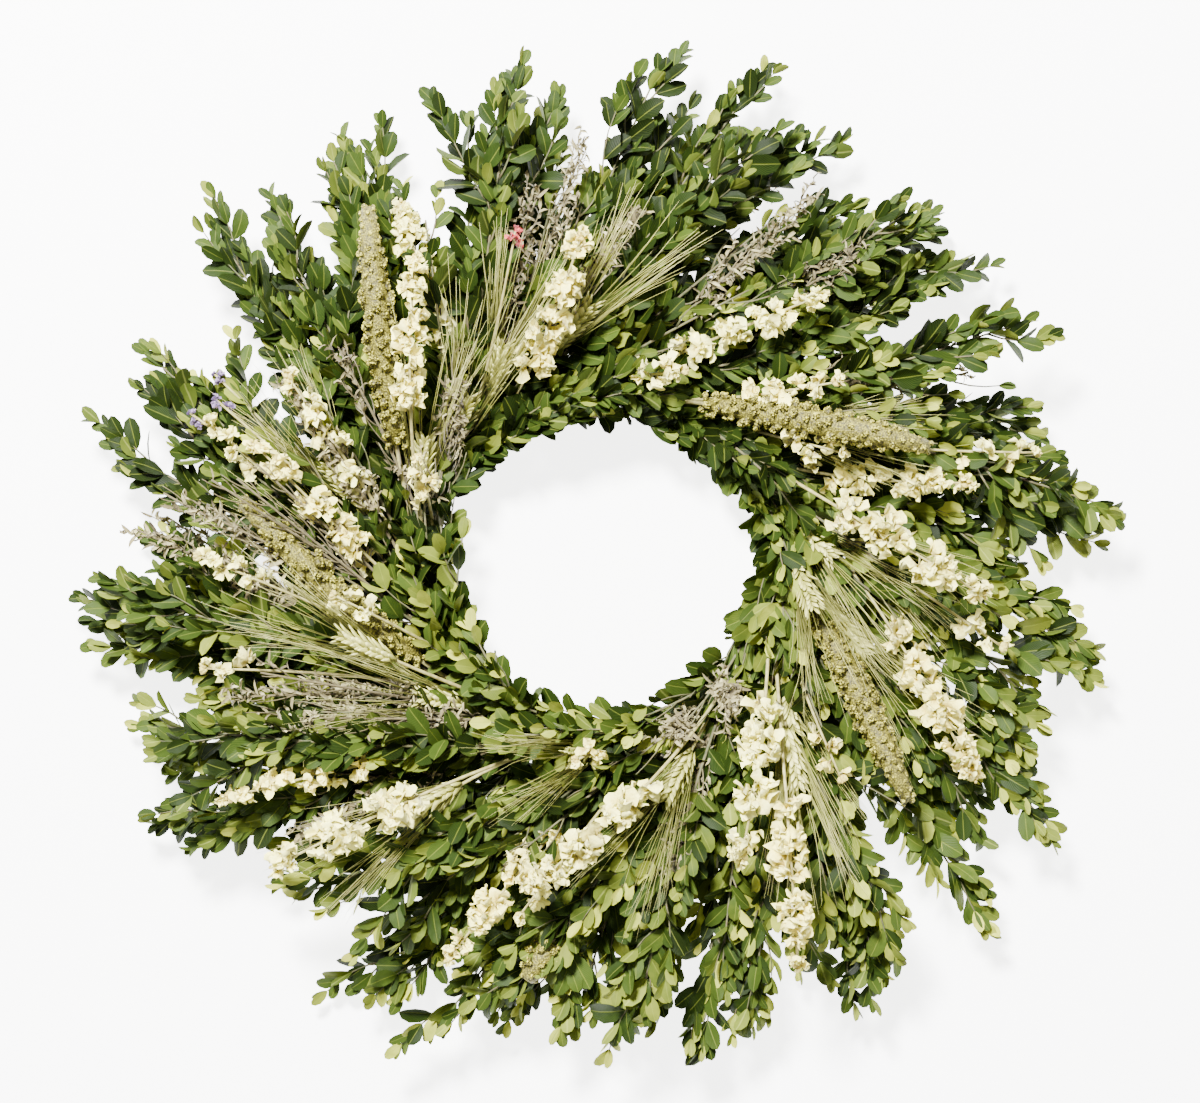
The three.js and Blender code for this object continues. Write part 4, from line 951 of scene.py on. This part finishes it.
def larkspur_spike(line, random, head=LARKSPUR_HEAD, florets=FLORETS, size=1.0):
    """A stem crowded with crumpled florets in loose clumps, as mesh parts."""
    length = length_of(line)
    share = (np.arange(florets) + random.uniform(0.2, 0.8, florets)) / florets
    crowd = np.sin(share * random.uniform(16, 26) + random.uniform(0, 2 * np.pi))
    held = (crowd > -0.66) | (share > 0.9) | (florets < FEW_FLORETS)
    share, crowd, florets = share[held], crowd[held], int(held.sum())
    at, onward, aside, rise = along_line(line, length - head * (1 - share) * 0.97)
    turn = np.arange(florets) * GOLDEN_TURN + random.normal(0, 0.3, florets)
    turn = np.pi / 2 + (np.mod(turn, 2 * np.pi) - np.pi) * 0.8
    out = turned_to(aside, rise, turn)
    full = size * (0.55 + 0.45 * np.clip((1 - share) * 3, 0, 1)) * random.uniform(0.85, 1.1, florets)
    full *= 0.97 + 0.1 * crowd
    axis = unit(turned_to(onward, out, random.uniform(0.9, 1.35, florets)))
    heart = at + axis * (FLORET_STALK * full)[:, None]
    level = unit(np.cross(axis, onward))
    across = np.cross(axis, level)
    k = np.arange(PETALS)
    inner = (k >= OUTER_PETALS).astype(int)
    angle = k * 2 * np.pi / OUTER_PETALS + 0.5 * inner + random.normal(0, 0.25, (florets, PETALS))
    spoke = turned_to(level[:, None], across[:, None], angle)
    flare = np.take(PETAL_FLARES, inner) + random.normal(0, 0.22, (florets, PETALS))
    along = unit(turned_to(axis[:, None], spoke, flare))
    count = florets * PETALS
    scale = np.repeat(full, PETALS) * random.uniform(0.8, 1.15, count)
    base = random.uniform(0.59, 0.86)
    rows = {
        "foot": np.repeat(heart, PETALS, axis=0),
        "along": along.reshape(-1, 3),
        "face": (axis[:, None] - 0.4 * spoke).reshape(-1, 3) + random.normal(0, 0.25, (count, 3)),
        "length": scale * np.tile(np.take(PETAL_LENGTHS, inner), florets),
        "width": scale * np.tile(np.take(PETAL_WIDTHS, inner), florets),
        "tone": np.clip(base + np.tile(0.12 * inner, florets) + random.normal(0, 0.12, count), 0, 1),
        "bend": random.normal(-0.2, 1.2, count),
        "fold": random.normal(0.25, 0.35, count),
        "ruffle": random.normal(0, PETAL_RUFFLE, (count, 3, 3)) * scale[:, None, None],
        "frill": random.normal(0, PETAL_FRILL, (count, 3, 3)),
    }
    petals = blades(**rows, shape=PETAL_SHAPE, thickness=PETAL_THICKNESS)
    petals["vertices"][:, 2] = np.minimum(petals["vertices"][:, 2], solid_box[1][2] + HEAD_ROOM)
    bud_share = np.linspace(0.93, 1.0, BUDS)
    bud_at, bud_on, bud_aside, bud_rise = along_line(line, length - head * (1 - bud_share))
    bud_out = turned_to(bud_aside, bud_rise, np.arange(BUDS) * GOLDEN_TURN)
    bud_axis = unit(bud_on + bud_out * 0.8)
    bud_radius = np.linspace(*BUD_RADII, BUDS) * size
    bud_at = bud_at + bud_axis * bud_radius[:, None] * 1.6
    stalks = np.stack([at, (at + heart) / 2, heart], axis=1)
    return [
        (0, petals),
        (0, grains(bud_at, bud_axis, bud_radius, 1.6, np.full(BUDS, BUD_TONE))),
        (1, tubes(stalks, np.full((florets, 3), STALK_RADIUS), 3, np.full(florets, 0.4))),
        (1, stem_tube(line, STEM_RADIUS, STEM_RADIUS * 0.5, sides=6, tone=0.5)),
    ]


for i, node, line in solid_stems("larkspur", LARKSPUR_TIPS):
    petal, slot = (cream_petal, "larkspur_cream") if i % 2 else (peach_petal, "larkspur_peach")
    spike = larkspur_spike(line, random, size=random.uniform(*SPIKE_SIZES))
    piece = make_piece(f"larkspur_spike_{i + 1:02d}", spike, [petal, straw], slot)
    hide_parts(node)
for i, (degrees, reach, height, head, florets) in enumerate(LARKSPUR_EXTRAS):
    line = stem_to(degrees, reach, height, random)
    petal, slot = (cream_petal, "larkspur_cream") if i % 3 else (peach_petal, "larkspur_peach")
    spike = larkspur_spike(line, random, head, florets, SMALL_SPIKE)
    make_piece(f"larkspur_small_{i + 1:02d}", spike, [petal, straw], slot)

# The bright flecks
# A few scraps of purple flower caught at the left of the wreath, and one red bud at its top. They came in
# with the dried flowers, and stand on thin bare stalks.
FLECK_HEAD = 0.012
FLECK_FLORETS = 3
FLECK_SIZE = 0.48
purple_petal = petal_material("purple_petal", [
    (0.0, (0.02, 0.008, 0.035)), (0.4, (0.065, 0.032, 0.11)), (0.75, (0.14, 0.085, 0.2)),
    (1.0, (0.28, 0.2, 0.35)),
])
red_bud = petal_material("red_bud", [
    (0.0, (0.08, 0.005, 0.007)), (0.4, (0.24, 0.014, 0.018)), (0.75, (0.4, 0.025, 0.03)),
    (1.0, (0.58, 0.06, 0.06)),
])
FLECKS = [
    (157, 236, 66, purple_petal), (160, 247, 60, purple_petal), (154, 243, 58, purple_petal),
    (104, 192, 90, red_bud),
]
for i, (degrees, reach, height, petal) in enumerate(FLECKS):
    line = stem_to(degrees, reach, height, random)
    fleck = larkspur_spike(line, random, FLECK_HEAD, FLECK_FLORETS, FLECK_SIZE)
    make_piece(f"bright_fleck_{i + 1:02d}", fleck, [petal, straw], "larkspur_peach")

# The bearded wheat
# Dried bearded wheat, cut green: a straw, an ear of pointed husks in four rows, and long straight awns
# from the tips of the husks in its two side rows and its top three levels. The awns spread like a brush.
WHEAT_TIPS = [
    (130, 165, 62), (68, 209, 58), (358, 220, 60), (322, 168, 64), (299, 238, 54), (280, 199, 58),
    (218, 253, 50), (192, 212, 56), (166, 215, 54),
]
WHEAT_EXTRAS = [
    (102, 196, 80), (114, 150, 76), (151, 232, 66), (205, 172, 78), (252, 122, 72), (346, 190, 78),
    (20, 205, 76), (332, 228, 70), (309, 214, 76),
]
WHEAT_HEAD = 0.118
EAR_LENGTH = 0.048
EAR_FOOT = 0.003
LAST_HUSK = 0.012
EAR_STEM_RADIUS = 0.0009
HUSK_LEVELS = 11
HUSK_TURNS = np.array([0, 0.36, 0.64, 1]) * np.pi
HUSK_LENGTH = 0.0132
HUSK_WIDTH = 0.0048
HUSK_THICKNESS = 0.0021
HUSK_OUT = 0.0022
HUSK_SHAPE = [(0.15, 0.6), (0.45, 1.0), (0.8, 0.6)]
AWN_LENGTH = 0.084
AWN_RADII = [0.00028, 0.00022, 0.00016, 0.00006]
AWN_DROOP = 0.006
AWN_SWAY = 0.005

husk_green, tree, shader = start_material("wheat_husk", roughness=0.6)
across, toward_tip = across_and_along(tree)
nerves = math_of(tree, "MULTIPLY", math_of(tree, "SINE", math_of(tree, "MULTIPLY", across, 40.0)), 0.1)
paler = math_of(tree, "MULTIPLY", math_of(tree, "SUBTRACT", toward_tip, 0.55), 0.7)
paint(tree, shader, math_of(tree, "ADD", math_of(tree, "ADD", tone_of(tree), nerves), paler), [
    (0.1, (0.065, 0.065, 0.01)), (0.4, (0.21, 0.21, 0.035)), (0.68, (0.48, 0.47, 0.1)),
    (1.0, (0.86, 0.83, 0.3)),
])
raise_surface(tree, shader, nerves, distance=0.0006)


def wheat_ear(line, random, head=WHEAT_HEAD):
    """A straw with its ear and awns, as mesh parts."""
    foot = length_of(line) - head
    count = HUSK_LEVELS * 4
    level = np.repeat(np.arange(HUSK_LEVELS), 4)
    row = np.tile(np.arange(4), HUSK_LEVELS)
    distance = foot + EAR_FOOT + (EAR_LENGTH - LAST_HUSK) * (level + 0.5 * (row % 2)) / HUSK_LEVELS
    at, onward, aside, rise = along_line(line, distance)
    turn = HUSK_TURNS[row] + random.normal(0, 0.1, count)
    out = turned_to(aside, rise, turn)
    full = np.sin(np.pi * (0.2 + 0.68 * level / HUSK_LEVELS)) ** 0.5
    along = unit(turned_to(onward, out, random.normal(0.56, 0.06, count)))
    husk_length = HUSK_LENGTH * full * random.uniform(0.92, 1.08, count)
    base = random.uniform(0.55, 0.72)
    husk_tone = np.clip(base + random.normal(0, 0.09, count), 0, 1)
    husks = blades(
        foot=at + out * HUSK_OUT, along=along, face=out, length=husk_length, width=HUSK_WIDTH * full,
        bend=np.full(count, 0.35), fold=np.full(count, -0.75), tone=husk_tone, shape=HUSK_SHAPE,
        thickness=HUSK_THICKNESS, points=5, rim=False,
    )
    sides = np.flatnonzero((row % 3 == 0) | (level > HUSK_LEVELS - 4))
    bearing = np.concatenate([sides, sides[row[sides] % 3 == 0]])
    start = (at + along * husk_length[:, None] * 0.9)[bearing]
    spread = aside * np.cos(turn)[:, None] * 0.22 + rise * (np.sin(turn) * 0.1)[:, None]
    way = unit((onward + spread)[bearing] + random.normal(0, 0.045, (len(bearing), 3)))
    reach = AWN_LENGTH * random.uniform(0.7, 1.0, len(bearing))
    droop = random.normal(0, AWN_SWAY, (len(bearing), 3)) - UP * AWN_DROOP
    t = np.linspace(0, 1, len(AWN_RADII))
    awns = start[:, None] + way[:, None] * (reach[:, None] * t)[..., None]
    awns = awns + droop[:, None] * (t ** 2)[None, :, None]
    awns[..., 2] = np.minimum(awns[..., 2], solid_box[1][2] + HEAD_ROOM)
    below = along_line(line, np.linspace(0, foot + EAR_LENGTH * 0.8, 14))[0]
    return [
        (0, husks),
        (0, tubes(awns, np.tile(AWN_RADII, (len(awns), 1)), 3, husk_tone[bearing] + 0.1)),
        (1, stem_tube(below, STEM_RADIUS, EAR_STEM_RADIUS, sides=6, tone=0.5)),
    ]


for i, node, line in solid_stems("wheat", WHEAT_TIPS):
    piece = make_piece(f"wheat_ear_{i + 1:02d}", wheat_ear(line, random), [husk_green, straw], "wheat")
    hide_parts(node)
for i, (degrees, reach, height) in enumerate(WHEAT_EXTRAS):
    line = stem_to(degrees, reach, height, random)
    head = min(WHEAT_HEAD, length_of(line) * 0.7)
    make_piece(f"wheat_more_{i + 1:02d}", wheat_ear(line, random, head), [husk_green, straw], "wheat")

# The setting
# A plain pale floor under the wreath, a broad soft light from above its top left, and a camera that looks
# straight down, as in the photo.
MM_PER_PIXEL = 0.57
IMAGE_WIDTH = 1200
IMAGE_HEIGHT = 1103
RING_PIXEL = (600, 562)
FACE_LEVEL = 0.045
LENS = 100
SENSOR = 36
FLOOR_HALF = 4
FLOOR_LEVEL = -0.0003
FLOOR_GLOW = 4.6
WORLD_STRENGTH = 0.58
LIGHT_PLACE = (-0.5, 1.2, 2.0)
LIGHT_SIZE = 0.5
LIGHT_POWER = 390

floor_mesh = bpy.data.meshes.new("floor")
floor_corners = [(x * FLOOR_HALF, y * FLOOR_HALF, 0) for x, y in ((-1, -1), (1, -1), (1, 1), (-1, 1))]
floor_mesh.from_pydata(floor_corners, [], [(0, 1, 2, 3)])
floor = put_in_scene("floor", floor_mesh)
floor.location.z = FLOOR_LEVEL
paper, tree, shader = start_material("floor_paper", roughness=0.9)
paint(tree, shader, noise(tree, scale=3), [(0.3, (0.89, 0.89, 0.885)), (0.7, (0.91, 0.91, 0.905))])
shader.inputs["Emission Color"].default_value = (1, 1, 0.99, 1)
shader.inputs["Emission Strength"].default_value = FLOOR_GLOW
floor_mesh.materials.append(paper)
floor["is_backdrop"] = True

world = bpy.data.worlds.new("studio")
bpy.context.scene.world = world
world.use_nodes = True
world.node_tree.nodes["Background"].inputs["Color"].default_value = (1, 1, 1, 1)
world.node_tree.nodes["Background"].inputs["Strength"].default_value = WORLD_STRENGTH

light_data = bpy.data.lights.new("window_light", "AREA")
light_data.shape = "DISK"
light_data.size = LIGHT_SIZE
light_data.energy = LIGHT_POWER
light = put_in_scene("window_light", light_data)
light.location = LIGHT_PLACE
light.rotation_mode = "QUATERNION"
light.rotation_quaternion = (-light.location).to_track_quat("-Z", "Y")

camera_data = bpy.data.cameras.new("camera")
camera_data.lens = LENS
camera_data.sensor_width = SENSOR
camera = put_in_scene("camera", camera_data)
bpy.context.scene.camera = camera
frame_width = IMAGE_WIDTH * MM_PER_PIXEL / 1000
camera.location = (
    ring_middle[0] + (IMAGE_WIDTH / 2 - RING_PIXEL[0]) * MM_PER_PIXEL / 1000,
    ring_middle[1] - (IMAGE_HEIGHT / 2 - RING_PIXEL[1]) * MM_PER_PIXEL / 1000,
    FACE_LEVEL + frame_width * LENS / SENSOR,
)
camera.rotation_euler = (0, 0, 0)

boxes = {"solids": solid_box, "scene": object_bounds()}
{name: [list(corner) for corner in box] for name, box in boxes.items()}
